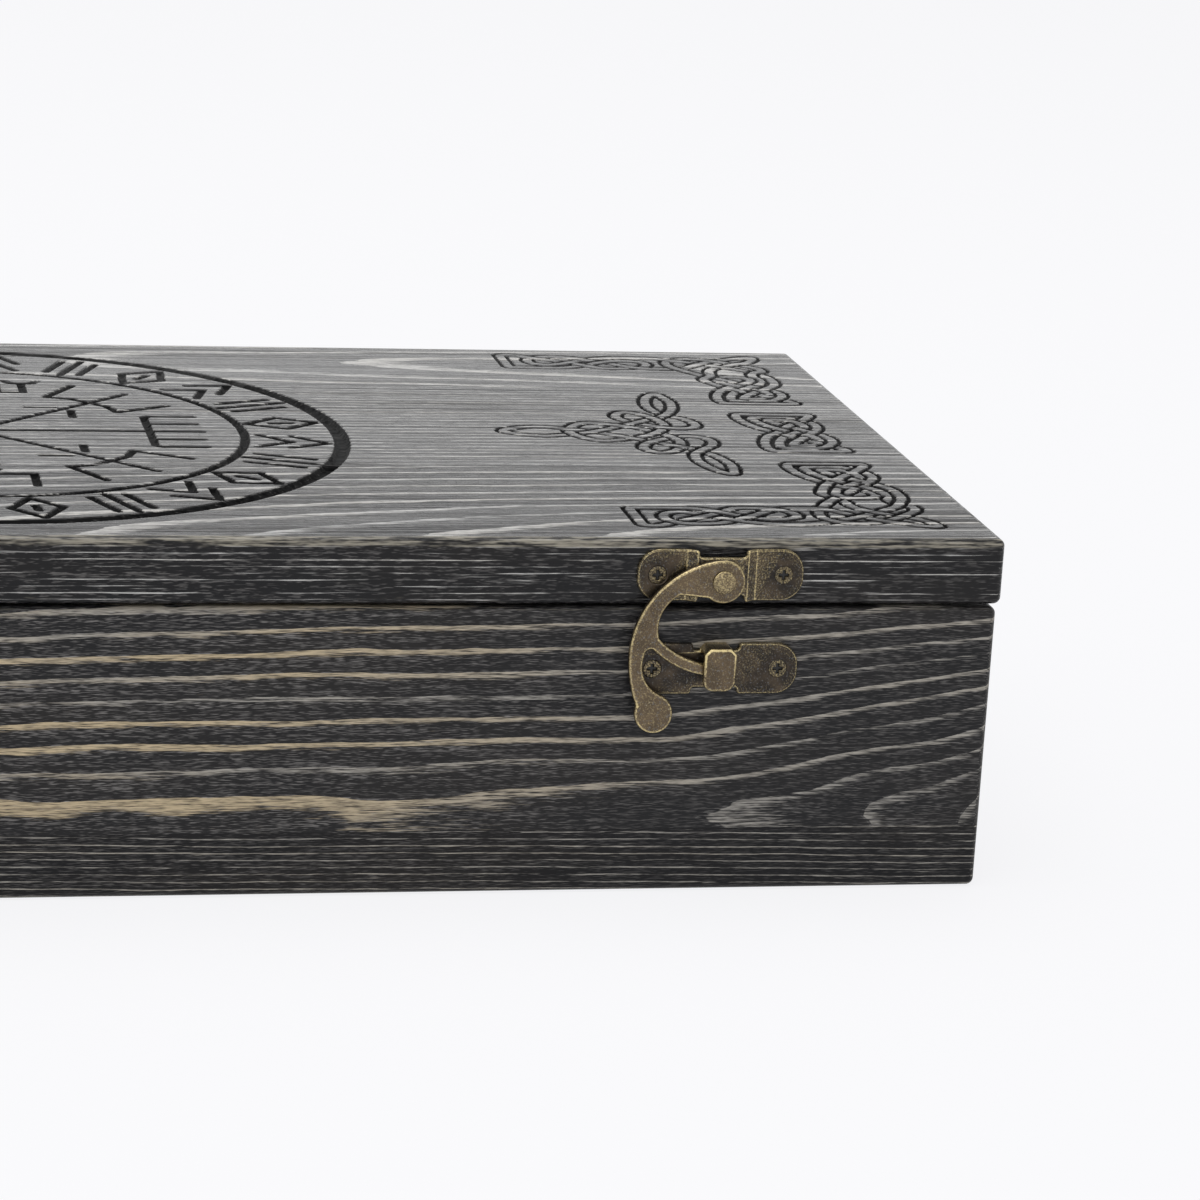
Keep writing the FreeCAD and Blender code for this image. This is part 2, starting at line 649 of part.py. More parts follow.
def hook(hand, side):
    """The swing hook: round head, curved arm, a prong that runs round the rivet and a bent finger paddle."""
    body = new_body(f"{hand}_hook", f"{side}*{latch_offset}", front_face, rivet_height)
    bent = sketch_on(body, "YZ_Plane", "bent_section")
    top = "hook_head_radius + 2"
    low = "-(paddle_drop + paddle_radius + 2)"
    knee = "-handle_bend_drop"
    bent_line = [
        (f"-{hook_front}", top),
        (f"-{hook_front}", knee),
        (f"-{hook_front} - handle_bend_out", low),
        (f"-{hook_back} - handle_bend_out", low),
        (f"-{hook_back}", knee),
        (f"-{hook_back}", top),
    ]
    bend_fall = "(paddle_drop + paddle_radius + 2 - handle_bend_drop)"
    sweep = f"(({bend_fall}*{bend_fall} + handle_bend_out*handle_bend_out)/(2*handle_bend_out))"
    outline(bent, bent_line, [None, (sweep, "in"), None, (sweep, "out"), None, None])
    pad(body, bent, "bent_strip", "2*(arm_reach + 8)", both_ways=True)
    blank = sketch_on(body, "XZ_Plane", "blanked_outline")
    outer = "(prong_radius + prong_width/2)"
    inner = "(prong_radius - prong_width/2)"
    paddle = ("-(arm_reach - paddle_inset)", "-paddle_drop")
    head = "hook_head_radius"
    arm_sweep = f"((arm_reach^2 + arm_reach_drop^2 - {head}^2)/(2*(arm_reach - {head})))"
    past_head = f"({arm_sweep} - {head})"
    leave = (f"{head}*(arm_reach - {arm_sweep})/{past_head}", f"{head}*arm_reach_drop/{past_head}")
    paddle_start = around(paddle, "paddle_radius", "paddle_outer_angle")
    inset = f"({paddle_start[0]} + arm_reach)"
    fall = f"({paddle_start[1]} + arm_reach_drop)"
    handle_sweep = f"(({inset}^2 + {fall}^2)/(2*{inset}))"
    corners = [
        leave,
        ("-arm_reach", "-arm_reach_drop"),
        paddle_start,
        around(paddle, "paddle_radius", "paddle_inner_angle"),
        ("-crotch_reach", "-crotch_drop"),
        polar(outer, "(-90 - prong_crotch_angle)"),
        polar(outer, "(-90 + prong_tip_angle)"),
        polar(inner, "(-90 + prong_tip_angle)"),
        polar(inner, "(-90 - prong_root_angle)"),
        ("-neck_reach", "-neck_drop"),
        polar("hook_head_radius", "head_low_angle"),
    ]
    bends = [
        (arm_sweep, "out"),
        (handle_sweep, "out"),
        ("paddle_radius", "round"),
        ("handle_inner_radius", "in"),
        ("crotch_radius", "in"),
        (outer, "out"),
        ("prong_width/2", "out"),
        (inner, "in"),
        ("arm_inner_radius", "in"),
        None,
        ("hook_head_radius", "round"),
    ]
    outline(blank, corners, bends)
    frame = "(arm_reach + 20)"
    rectangle(blank, f"-{frame}", frame, "-(paddle_drop + 20)", "hook_head_radius + 20")
    cut_through(body, blank, "blanking")
    bore = "(rivet_shank_radius + rivet_clearance)"
    rod(body, "Subtractive", "rivet_hole", ("0", "1", "0"), "-y", bore, f"{hook_front} + 2")
    return keep(body)


def rivet(hand, side):
    """The rivet: peened tail behind the bridge, plain shank, domed head in front of the hook."""
    body = new_body(f"{hand}_rivet", f"{side}*{latch_offset}", front_face, rivet_height)
    section = sketch_on(body, "YZ_Plane", "section")
    seat = f"({hook_front} + hook_clearance)"
    crown = f"({seat} + rivet_head_height)"
    tail = "(bridge_rise - rivet_tail_height)"
    corners = [
        (f"-{crown}", "0"),
        (f"-{tail}", "0"),
        (f"-{tail}", "rivet_tail_radius"),
        ("-bridge_rise", "rivet_tail_radius"),
        ("-bridge_rise", "rivet_shank_radius"),
        (f"-{seat}", "rivet_shank_radius"),
        (f"-{seat}", "rivet_head_radius"),
    ]
    dome = "(rivet_head_radius*rivet_head_radius + rivet_head_height*rivet_head_height)/(2*rivet_head_height)"
    outline(section, corners, [None] * 6 + [(f"({dome})", "out")])
    revolve(body, section, "turned")
    return keep(body)


def leaf(hand, side, part, up):
    """One hinge leaf: a flat plate, tabs to its own knuckles and the bored knuckles on the pin's axis."""
    label = f"{hand}_hinge_{part}_leaf"
    body = new_body(label, f"{side}*{hinge_offset}", "case_depth/2", hinge_axis_height, turn=180)
    near_z = f"{up}*{leaf_start}"
    far_z = f"{up}*({leaf_start} + leaf_height)"
    low, high = (near_z, far_z) if up > 0 else (far_z, near_z)
    half_width = "hinge_width/2"
    block(body, "Additive", "plate", (f"-{half_width}", "-leaf_thickness", low), (half_width, "0", high))
    corner_x = number_of(half_width)
    corner_z = number_of(far_z)

    def is_far_corner(edge):
        x, z = spans(edge, "X"), spans(edge, "Z")
        return runs_along(edge, "Y") and near(abs(x[0]), corner_x) and near(z[0], corner_z)

    round_edges(body, "round_corners", "leaf_corner_radius", is_far_corner)
    middle = "middle_knuckle_length/2"
    step = f"({middle} + knuckle_end_gap)"
    outer_knuckles = [(f"-{half_width}", f"-{step}"), (step, half_width)]
    knuckles = [(f"-{middle}", middle)] if part == "lid" else outer_knuckles
    for i, (start, stop) in enumerate(knuckles):
        tab_low, tab_high = ("0", near_z) if up > 0 else (near_z, "0")
        tab = ((start, "-leaf_thickness", tab_low), (stop, "-knuckle_clearance", tab_high))
        block(body, "Additive", f"tab_{i}", *tab)
        axis = (start, f"-{hinge_axis_out}", "0")
        rod(body, "Additive", f"knuckle_{i}", axis, "x", "knuckle_radius", f"{stop} - ({start})")
    bore_start = (f"-{half_width} - 1", f"-{hinge_axis_out}", "0")
    rod(body, "Subtractive", "pin_bore", bore_start, "x", "(pin_radius + pin_clearance)", "hinge_width + 2")
    screw_holes(body, "leaf_screw_spacing", "leaf_thickness", f"{up}*{leaf_screw_height}")
    return keep(body)


def hinge_pin(hand, side):
    """The pin with a flat head at each end."""
    label = f"{hand}_hinge_pin"
    body = new_body(label, f"{side}*{hinge_offset}", "case_depth/2", hinge_axis_height, turn=180)
    out = f"-{hinge_axis_out}"
    half_width = "(hinge_width/2 + knuckle_end_gap/2)"
    rod(body, "Additive", "shank", (f"-{half_width}", out, "0"), "x", "pin_radius", f"2*{half_width}")
    head_start = f"-{half_width} - pin_head_length"
    rod(body, "Additive", "head_a", (head_start, out, "0"), "x", "pin_head_radius", "pin_head_length")
    rod(body, "Additive", "head_b", (half_width, out, "0"), "x", "pin_head_radius", "pin_head_length")
    return keep(body)


for hand, side in (("left", -1), ("right", 1)):
    pivot_plate(hand, side)
    catch_plate(hand, side)
    hook(hand, side)
    rivet(hand, side)
    leaf(hand, side, "case", -1)
    leaf(hand, side, "lid", 1)
    hinge_pin(hand, side)

sheet_step = "plate_thickness - leaf_thickness"
back_screw_y = f"case_depth/2 - ({sheet_step})"
group("latch_lid_screws", screw, [(x, front_face, pivot_plate_height, 0) for x in latch_screw_x])
group("latch_case_screws", screw, [(x, front_face, catch_height, 0) for x in latch_screw_x])
lid_leaf_screw_z = f"{hinge_axis_height} + {leaf_screw_height}"
case_leaf_screw_z = f"{hinge_axis_height} - {leaf_screw_height}"
group("hinge_lid_screws", screw, [(x, back_screw_y, lid_leaf_screw_z, 180) for x in hinge_screw_x])
group("hinge_case_screws", screw, [(x, back_screw_y, case_leaf_screw_z, 180) for x in hinge_screw_x])

doc.recompute()
for feature in doc.Objects:
    if "Invalid" in feature.State or "Error" in feature.State:
        raise RuntimeError(f"{feature.Name} did not build: {feature.State}")
for body in bodies:
    if body.Shape.isNull() or not body.Shape.isValid():
        raise RuntimeError(f"{body.Label} has no valid shape")
    body.Shape.exportStep(f"parts/{body.Label}.step")
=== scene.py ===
import json
import math

import bmesh
import bpy
import numpy as np
from mathutils import Matrix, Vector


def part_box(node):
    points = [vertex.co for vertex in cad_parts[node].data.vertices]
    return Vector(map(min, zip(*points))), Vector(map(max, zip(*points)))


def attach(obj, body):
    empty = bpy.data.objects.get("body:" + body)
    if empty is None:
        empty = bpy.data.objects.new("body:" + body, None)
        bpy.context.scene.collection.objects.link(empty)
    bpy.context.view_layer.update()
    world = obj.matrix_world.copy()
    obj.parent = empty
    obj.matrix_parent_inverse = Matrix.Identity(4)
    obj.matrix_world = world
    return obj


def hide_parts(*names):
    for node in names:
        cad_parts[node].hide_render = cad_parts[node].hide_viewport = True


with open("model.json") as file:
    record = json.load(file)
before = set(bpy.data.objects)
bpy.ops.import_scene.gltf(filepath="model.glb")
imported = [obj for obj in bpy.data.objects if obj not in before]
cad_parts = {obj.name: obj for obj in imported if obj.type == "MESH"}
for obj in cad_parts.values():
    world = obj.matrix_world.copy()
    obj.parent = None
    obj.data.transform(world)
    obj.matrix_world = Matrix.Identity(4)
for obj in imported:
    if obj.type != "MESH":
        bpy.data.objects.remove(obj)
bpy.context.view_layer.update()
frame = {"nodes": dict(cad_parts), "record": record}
nodes = frame["nodes"]
print("stage: frame loaded,", len(nodes), "CAD nodes")


# Node helpers


def linear(red, green, blue):  # 0 to 255 as seen on a screen, turned into a linear colour
    share = np.array([red, green, blue]) / 255
    low = share / 12.92
    high = ((share + 0.055) / 1.055) ** 2.4
    return (*np.where(share <= 0.04045, low, high).tolist(), 1.0)


def fill(tree, node, inputs):  # links or sets the sockets of a node
    for socket, value in inputs.items():
        if isinstance(value, bpy.types.NodeSocket):
            tree.links.new(value, node.inputs[socket])
        else:
            node.inputs[socket].default_value = value


def addNode(tree, kind, inputs=None, **settings):  # one shader node with its settings and sockets
    node = tree.nodes.new(kind)
    for key, value in settings.items():
        setattr(node, key, value)
    fill(tree, node, inputs or {})
    return node


def calc(tree, operation, first, second=0.0, third=0.0, clamp=False):  # arithmetic on sockets and numbers
    inputs = {0: first, 1: second, 2: third}
    return addNode(tree, "ShaderNodeMath", inputs, operation=operation, use_clamp=clamp).outputs[0]


def scaleAdd(tree, value, factor, more, clamp=False):  # value times factor, plus more
    return calc(tree, "MULTIPLY_ADD", value, factor, more, clamp)


def centred(tree, value):  # noise from 0 to 1, moved so that its middle is 0
    return calc(tree, "SUBTRACT", value, 0.5)


def ease(tree, value, start, end):  # smooth step, 0 before start and 1 after end
    inputs = {"Value": value, "From Min": start, "From Max": end}
    return addNode(tree, "ShaderNodeMapRange", inputs, interpolation_type="SMOOTHSTEP").outputs[0]


def blendColour(tree, share, under, over):  # under where share is 0, over where it is 1
    node = addNode(tree, "ShaderNodeMix", {0: share, 6: under, 7: over}, data_type="RGBA")
    return node.outputs[2]


def noise(tree, vector, lengths, detail=2.0, rough=0.55):  # its features are as long as lengths, in mm
    counts = [1 / s for s in lengths]
    scaled = addNode(tree, "ShaderNodeVectorMath", {0: vector, 1: counts}, operation="MULTIPLY")
    inputs = {"Vector": scaled.outputs[0], "Scale": 1.0, "Detail": detail, "Roughness": rough}
    return addNode(tree, "ShaderNodeTexNoise", inputs).outputs[0]


def bumped(tree, height, strength, distance):  # normals of a relief too fine for the mesh
    inputs = {"Strength": strength, "Distance": distance, "Height": height}
    return addNode(tree, "ShaderNodeBump", inputs).outputs[0]


def newFinish(name):  # an empty material with its shader, and the place on the piece in mm
    material = bpy.data.materials.new(name)
    material.use_nodes = True
    tree = material.node_tree
    shader = tree.nodes["Principled BSDF"]
    place = addNode(tree, "ShaderNodeTexCoord").outputs["Object"]
    scaled = addNode(tree, "ShaderNodeVectorMath", {0: place, "Scale": 1000.0}, operation="SCALE")
    return material, tree, shader, scaled.outputs[0]


def attribute(tree, name):  # a number that the mesh carries on its points
    return addNode(tree, "ShaderNodeAttribute", attribute_name=name).outputs["Fac"]


# Stained pine

stain = {
    "dark": linear(16, 16, 19),
    "darkWarm": linear(27, 25, 25),
    "pale": linear(174, 170, 163),
    # the lid's line tone: the same wood as the case's pale, made lighter as a painted sheen
    "bright": linear(200, 199, 197),
    "tan": linear(211, 190, 152),
    "fleck": linear(146, 143, 141),
    "char": linear(6, 6, 7),
    "wornAndHighlit": linear(166, 160, 146),
    "grooveRoughness": 0.95,
}
grainLengths = {  # in mm, along the fibres, across them and up
    "sway": (90, 26, 26), "ripple": (18, 5, 5), "wave": (34, 60, 60), "patch": (90, 14, 14),
    "streak": (26, 0.55, 0.55), "fine": (4.5, 0.28, 0.28), "thread": (9, 0.36, 0.36),
    "speck": (2.6, 0.15, 0.15),
}
grainLimits = {  # where each effect starts and where it is full
    "waveRing": (2.8, 0.4), "outward": (40, 190), "boldAlong": (170, 50), "pale": (0.28, 0.74),
    "fleck": (0.52, 0.71), "patch": (0.35, 0.7), "lineTone": (0.55, 1.0), "edge": (0.1, 1.5),
    "rubbedAndHighlit": (0.62, 1.5), "dull": (0.55, 0.32), "cut": (0.12, 0.6), "ash": (0.58, 0.78),
}
grainShares = {  # how much each noise or line counts
    "lineTone": (0.4, 0.65), "fray": (0.45, 0.55), "shadeFine": 2.2, "shadeSpeck": 1.6, "shadeMiddle": 2.25,
    "fleckStreak": 0.4, "fleckShare": (0.6, 0.4), "fleckLoss": 0.4, "tonePatch": 0.5, "mottleFine": 1.6,
    "mottleThread": 2.4, "reliefFine": 0.45, "reliefPale": 0.4, "reliefThread": 0.6, "roughFine": 0.3,
    "roughMiddle": 0.15, "ash": 0.3, "dullSheen": 0.6, "bump": 0.5, "bumpHeight": 0.0003,
    "lineFull": 0.85, "lineEnd": 0.022,
}


# Distance from the pith, a line that leans as it runs along the board, counted in rings.
def ringCount(tree, along, across, up, rings):
    side = scaleAdd(tree, along, -rings["lean"][0], -rings["pith"][0])
    rise = scaleAdd(tree, along, -rings["lean"][1], -rings["pith"][1])
    side = calc(tree, "ADD", side, across)
    rise = calc(tree, "ADD", rise, up)
    flat = addNode(tree, "ShaderNodeCombineXYZ", {0: side, 1: rise})
    radius = addNode(tree, "ShaderNodeVectorMath", {0: flat.outputs[0]}, operation="LENGTH").outputs["Value"]
    return scaleAdd(tree, radius, 1 / rings["spacing"], -rings["start"] / rings["spacing"])


# Distance in mm to the nearest edge of a box in metres: the middle one of the distances to its faces.
def edgeDistance(tree, axes, box):
    gaps = []
    for axis, low, high in zip(axes, *box):
        middle = 1000 * (low + high) / 2
        half = 1000 * (high - low) / 2
        off = calc(tree, "ABSOLUTE", calc(tree, "SUBTRACT", axis, middle))
        gaps.append(calc(tree, "SUBTRACT", half, off))
    small = calc(tree, "MINIMUM", gaps[0], gaps[1])
    large = calc(tree, "MAXIMUM", gaps[0], gaps[1])
    return calc(tree, "MINIMUM", large, calc(tree, "MAXIMUM", small, gaps[2]))


# The share of a ring where its pale line lies: it feathers in, is full, and ends on a crisp edge.
def ringLine(tree, share, stops):
    feather, full, edge = stops
    ramp = addNode(tree, "ShaderNodeValToRGB", {0: share})
    marks = ramp.color_ramp.elements
    for mark, position, value in ((marks[0], feather, 0.0), (marks[1], full, grainShares["lineFull"])):
        mark.position = position
        mark.color = (value, value, value, 1)
    for position, value in ((edge, 1.0), (edge + grainShares["lineEnd"], 0.0)):
        marks.new(position).color = (value, value, value, 1)
    return ramp.outputs[0]


# Rings are counted from the pith, swayed and rippled by noise, and each ring has a pale line of its own tone.
# Threads fray the lines, flecks stand between them, and the edges take a pale worn colour: rubbed stain, with
# the highlight of the rounded edges painted in.
def pineFinish(name, grain, box=None, carved=False):
    material, tree, shader, place = newFinish(name)
    axes = addNode(tree, "ShaderNodeSeparateXYZ", {0: place}).outputs
    along, across = (axes[0], axes[1]) if grain["along"] == "x" else (axes[1], axes[0])
    up = axes[2]
    fibre = addNode(tree, "ShaderNodeCombineXYZ", {0: along, 1: across, 2: up}).outputs[0]
    coarse = grain["coarse"]

    def fibres(kind, detail, rough=0.55, stretch=1):  # noise along the fibres, wider on a coarse board
        length, width, rise = grainLengths[kind]
        return noise(tree, fibre, (length * stretch, width * coarse, rise * coarse), detail, rough)

    count = ringCount(tree, along, across, up, grain["rings"][0])
    if len(grain["rings"]) > 1:  # the rings change to a second set towards one end
        other = ringCount(tree, along, across, up, grain["rings"][1])
        turn = calc(tree, "SUBTRACT", along, grain["turn"][0])
        turn = calc(tree, "DIVIDE", turn, grain["turn"][1], clamp=True)
        turn = calc(tree, "MULTIPLY", turn, turn)
        count = scaleAdd(tree, calc(tree, "SUBTRACT", other, count), turn, count)
    if carved:  # the edges show narrow level rings
        side = attribute(tree, "side")
        level = calc(tree, "DIVIDE", up, grain["edgeSpacing"])
        count = scaleAdd(tree, calc(tree, "SUBTRACT", level, count), side, count)
    sway = centred(tree, noise(tree, fibre, grainLengths["sway"], 1.0))
    ripple = centred(tree, noise(tree, fibre, grainLengths["ripple"], 2.0))
    count = scaleAdd(tree, sway, grain["sway"], count)
    count = scaleAdd(tree, ripple, grain["ripple"], count)
    if "wave" in grain:  # the lowest rings wave more
        wave = centred(tree, noise(tree, fibre, grainLengths["wave"], 0.0))
        wave = calc(tree, "MULTIPLY", wave, ease(tree, count, *grainLimits["waveRing"]))
        count = scaleAdd(tree, wave, grain["wave"], count)
    number = calc(tree, "FLOOR", count)
    share = calc(tree, "FRACT", count)
    tone = addNode(tree, "ShaderNodeTexWhiteNoise", {"W": number}, noise_dimensions="1D").outputs["Value"]
    line = ringLine(tree, share, grain["line"])
    line = calc(tree, "MULTIPLY", line, scaleAdd(tree, tone, *grainShares["lineTone"]))
    outward = ease(tree, calc(tree, "ABSOLUTE", axes[0]), *grainLimits["outward"])
    line = scaleAdd(tree, outward, -grain["thinning"], line, clamp=True)
    if "bold" in grain:  # one ring has a broad line, which fades to the right
        bold = calc(tree, "COMPARE", number, grain["bold"], 0.5)
        bold = calc(tree, "MULTIPLY", bold, ease(tree, along, *grainLimits["boldAlong"]))
        line = calc(tree, "MAXIMUM", line, calc(tree, "MULTIPLY", ringLine(tree, share, boldLine), bold))
        tone = calc(tree, "MAXIMUM", tone, bold)

    streak = fibres("streak", 2.0)
    fine = fibres("fine", 2.0)
    thread = fibres("thread", 3.0, 0.65, coarse)
    speck = fibres("speck", 1.0)
    patch = noise(tree, fibre, grainLengths["patch"], 2.0)
    broken = grain["broken"]
    if carved:  # the lines are thinner and more broken on the lid's edges
        line = scaleAdd(tree, side, -grain["sideLoss"], line, clamp=True)
        broken = calc(tree, "ADD", side, broken)
    fray = calc(tree, "MULTIPLY", scaleAdd(tree, line, *grainShares["fray"]), broken)
    ragged = scaleAdd(tree, centred(tree, thread), fray, line)
    shade = scaleAdd(tree, fine, grainShares["shadeFine"], grain["amount"] - grainShares["shadeMiddle"])
    shade = scaleAdd(tree, speck, grainShares["shadeSpeck"], shade, clamp=True)
    pale = calc(tree, "MULTIPLY", ease(tree, ragged, *grainLimits["pale"]), shade)
    fleck = scaleAdd(tree, centred(tree, streak), grainShares["fleckStreak"], speck)
    fleck = ease(tree, fleck, *grainLimits["fleck"])
    fleck = calc(tree, "MULTIPLY", fleck, scaleAdd(tree, share, *grainShares["fleckShare"]))
    fewer = scaleAdd(tree, outward, -grainShares["fleckLoss"] * grain["fleck"], grain["fleck"])
    fleck = calc(tree, "MULTIPLY", fleck, fewer)
    if carved:  # and there are fewer flecks on its edges
        fleck = calc(tree, "MULTIPLY", fleck, scaleAdd(tree, side, -grain["sideQuiet"], 1.0))

    ground = blendColour(tree, ease(tree, patch, *grainLimits["patch"]), stain["dark"], stain["darkWarm"])
    ground = blendColour(tree, fleck, ground, stain["fleck"])
    warmHere, warmOut = grain["warm"]
    warm = scaleAdd(tree, outward, warmOut - warmHere, warmHere)
    lineTone = ease(tree, scaleAdd(tree, tone, grainShares["tonePatch"], patch), *grainLimits["lineTone"])
    lineColour = blendColour(tree, calc(tree, "MULTIPLY", lineTone, warm), stain[grain["tint"]], stain["tan"])
    colour = blendColour(tree, pale, ground, lineColour)
    # Pale worn colour along the edges: rubbed stain, and a painted highlight where the rounded edges catch
    # the light
    if carved:
        rubAndHighlight = attribute(tree, "wearAndHighlight")
    else:
        rubAndHighlight = calc(tree, "SUBTRACT", 1.0, ease(tree, edgeDistance(tree, axes, box), *grainLimits["edge"]))
    mottle = scaleAdd(tree, centred(tree, fine), grainShares["mottleFine"], rubAndHighlight)
    mottle = scaleAdd(tree, centred(tree, thread), grainShares["mottleThread"], mottle)
    rubAndHighlight = calc(tree, "MULTIPLY", rubAndHighlight, grain["wearAndHighlight"])
    rubbedAndHighlit = calc(tree, "MULTIPLY", ease(tree, mottle, *grainLimits["rubbedAndHighlit"]), rubAndHighlight)
    colour = blendColour(tree, rubbedAndHighlit, colour, stain["wornAndHighlit"])
    relief = calc(tree, "MULTIPLY", pale, grainShares["reliefPale"])
    relief = scaleAdd(tree, fine, grainShares["reliefFine"], relief)
    relief = scaleAdd(tree, thread, grainShares["reliefThread"], relief)
    rough = scaleAdd(tree, fine, grainShares["roughFine"], grain["roughness"] - grainShares["roughMiddle"])
    if carved:  # the lid's top takes the wax in fine stripes, and the grooves are burnt
        dull = ease(tree, noise(tree, fibre, grain["stripe"], 2.0), *grainLimits["dull"])
        dull = calc(tree, "MULTIPLY", dull, calc(tree, "SUBTRACT", 1.0, side))
        rough = scaleAdd(tree, dull, grain["dull"], rough)
        sheen = scaleAdd(tree, dull, -grainShares["dullSheen"] * grain["specular"], grain["specular"])
        tree.links.new(sheen, shader.inputs["Specular IOR Level"])
        cut = ease(tree, attribute(tree, "carve"), *grainLimits["cut"])
        ashes = calc(tree, "MULTIPLY", ease(tree, fine, *grainLimits["ash"]), grainShares["ash"])
        burnt = blendColour(tree, ashes, stain["char"], stain["fleck"])
        colour = blendColour(tree, cut, colour, burnt)
        rougher = calc(tree, "SUBTRACT", stain["grooveRoughness"], rough)
        rough = scaleAdd(tree, rougher, cut, rough)
    normal = bumped(tree, relief, grainShares["bump"], grainShares["bumpHeight"] * coarse)
    fill(tree, shader, {"Base Color": colour, "Roughness": rough, "Normal": normal})
    shader.inputs["Specular IOR Level"].default_value = grain["specular"]
    return material


wideLine = (0.58, 0.84, 0.955)
thinLine = (0.74, 0.88, 0.95)
boldLine = (0.42, 0.66, 0.955)
caseBoard = {
    "sway": 0.6, "ripple": 0.2, "broken": 3.0, "fleck": 1.0, "wearAndHighlight": 0.8, "line": wideLine, "amount": 1.15,
    "warm": (0.5, 0.5), "tint": "pale", "coarse": 1.0, "roughness": 0.42, "specular": 0.28, "thinning": 0,
}
boards = {
    "front_upper_stave": {
        **caseBoard, "along": "x", "sway": 0.7, "ripple": 0.28, "wave": 1.3, "thinning": 0.16,
        "warm": (0.85, 0.12), "turn": (144, 93), "bold": 0,
        "rings": [
            {"pith": (-98, 15.6), "lean": (0, 0.018), "spacing": 5.25, "start": 6.5},
            {"pith": (-89, 15.6), "lean": (0, 0), "spacing": 3.96, "start": 27.2},
        ],
    },
    "front_lower_stave": {
        **caseBoard, "along": "x", "sway": 1.2, "ripple": 0.45, "broken": 4.0, "fleck": 0.5, "line": thinLine,
        "warm": (0.12, 0.12), "amount": 1.1, "specular": 0.2,
        "rings": [{"pith": (-150, -300), "lean": (0, -0.016), "spacing": 1.75, "start": 0}],
    },
    "back_board": {
        **caseBoard, "along": "x",
        "rings": [{"pith": (88, 52), "lean": (0.012, 0.05), "spacing": 4.8, "start": 0}],
    },
    "left_side_board": {
        **caseBoard, "along": "y",
        "rings": [{"pith": (-222, 20), "lean": (0.02, 0.06), "spacing": 4.6, "start": 0}],
    },
    "right_side_board": {
        **caseBoard, "along": "y",
        "rings": [{"pith": (226, 48), "lean": (-0.015, -0.05), "spacing": 4.9, "start": 0}],
    },
}
frontLow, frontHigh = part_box("front_lower_stave")[0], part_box("front_upper_stave")[1]
for board, grain in boards.items():  # the two front staves wear as one board
    box = (frontLow, frontHigh) if board.startswith("front_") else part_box(board)
    nodes[board].material_slots[0].material = pineFinish(board + "_pine", grain, box=box)
print("stage: case boards stained")


# Plywood bottom and beech dowels

plywood = {"dark": linear(44, 38, 35), "pale": linear(92, 80, 68), "roughness": 0.62, "lengths": (60, 3, 3)}
beech = {
    "dark": linear(150, 112, 76), "pale": linear(190, 152, 110), "roughness": 0.55, "lengths": (20, 1.5, 1.5),
}
plainSet = {
    "fineLength": 0.2, "fineShare": 0.4, "mix": (0.5, 0.95), "roughSpread": 0.2, "specular": 0.3,
    "bump": (0.4, 0.0002),
}


def plainWood(name, tones):  # straight fibres of two tones, drawn out along one axis
    material, tree, shader, place = newFinish(name)
    streak = noise(tree, place, tones["lengths"], 4.0)
    fine = noise(tree, place, [plainSet["fineLength"] * s for s in tones["lengths"]], 2.0)
    mixed = ease(tree, scaleAdd(tree, fine, plainSet["fineShare"], streak), *plainSet["mix"])
    rough = scaleAdd(tree, fine, plainSet["roughSpread"], tones["roughness"])
    colour = blendColour(tree, mixed, tones["dark"], tones["pale"])
    normal = bumped(tree, mixed, *plainSet["bump"])
    fill(tree, shader, {"Base Color": colour, "Roughness": rough, "Normal": normal})
    shader.inputs["Specular IOR Level"].default_value = plainSet["specular"]
    return material


nodes["bottom_panel"].material_slots[0].material = plainWood("stained_plywood", plywood)
nodes["corner_dowels"].material_slots[0].material = plainWood("turned_beech", beech)


# Interlace strands

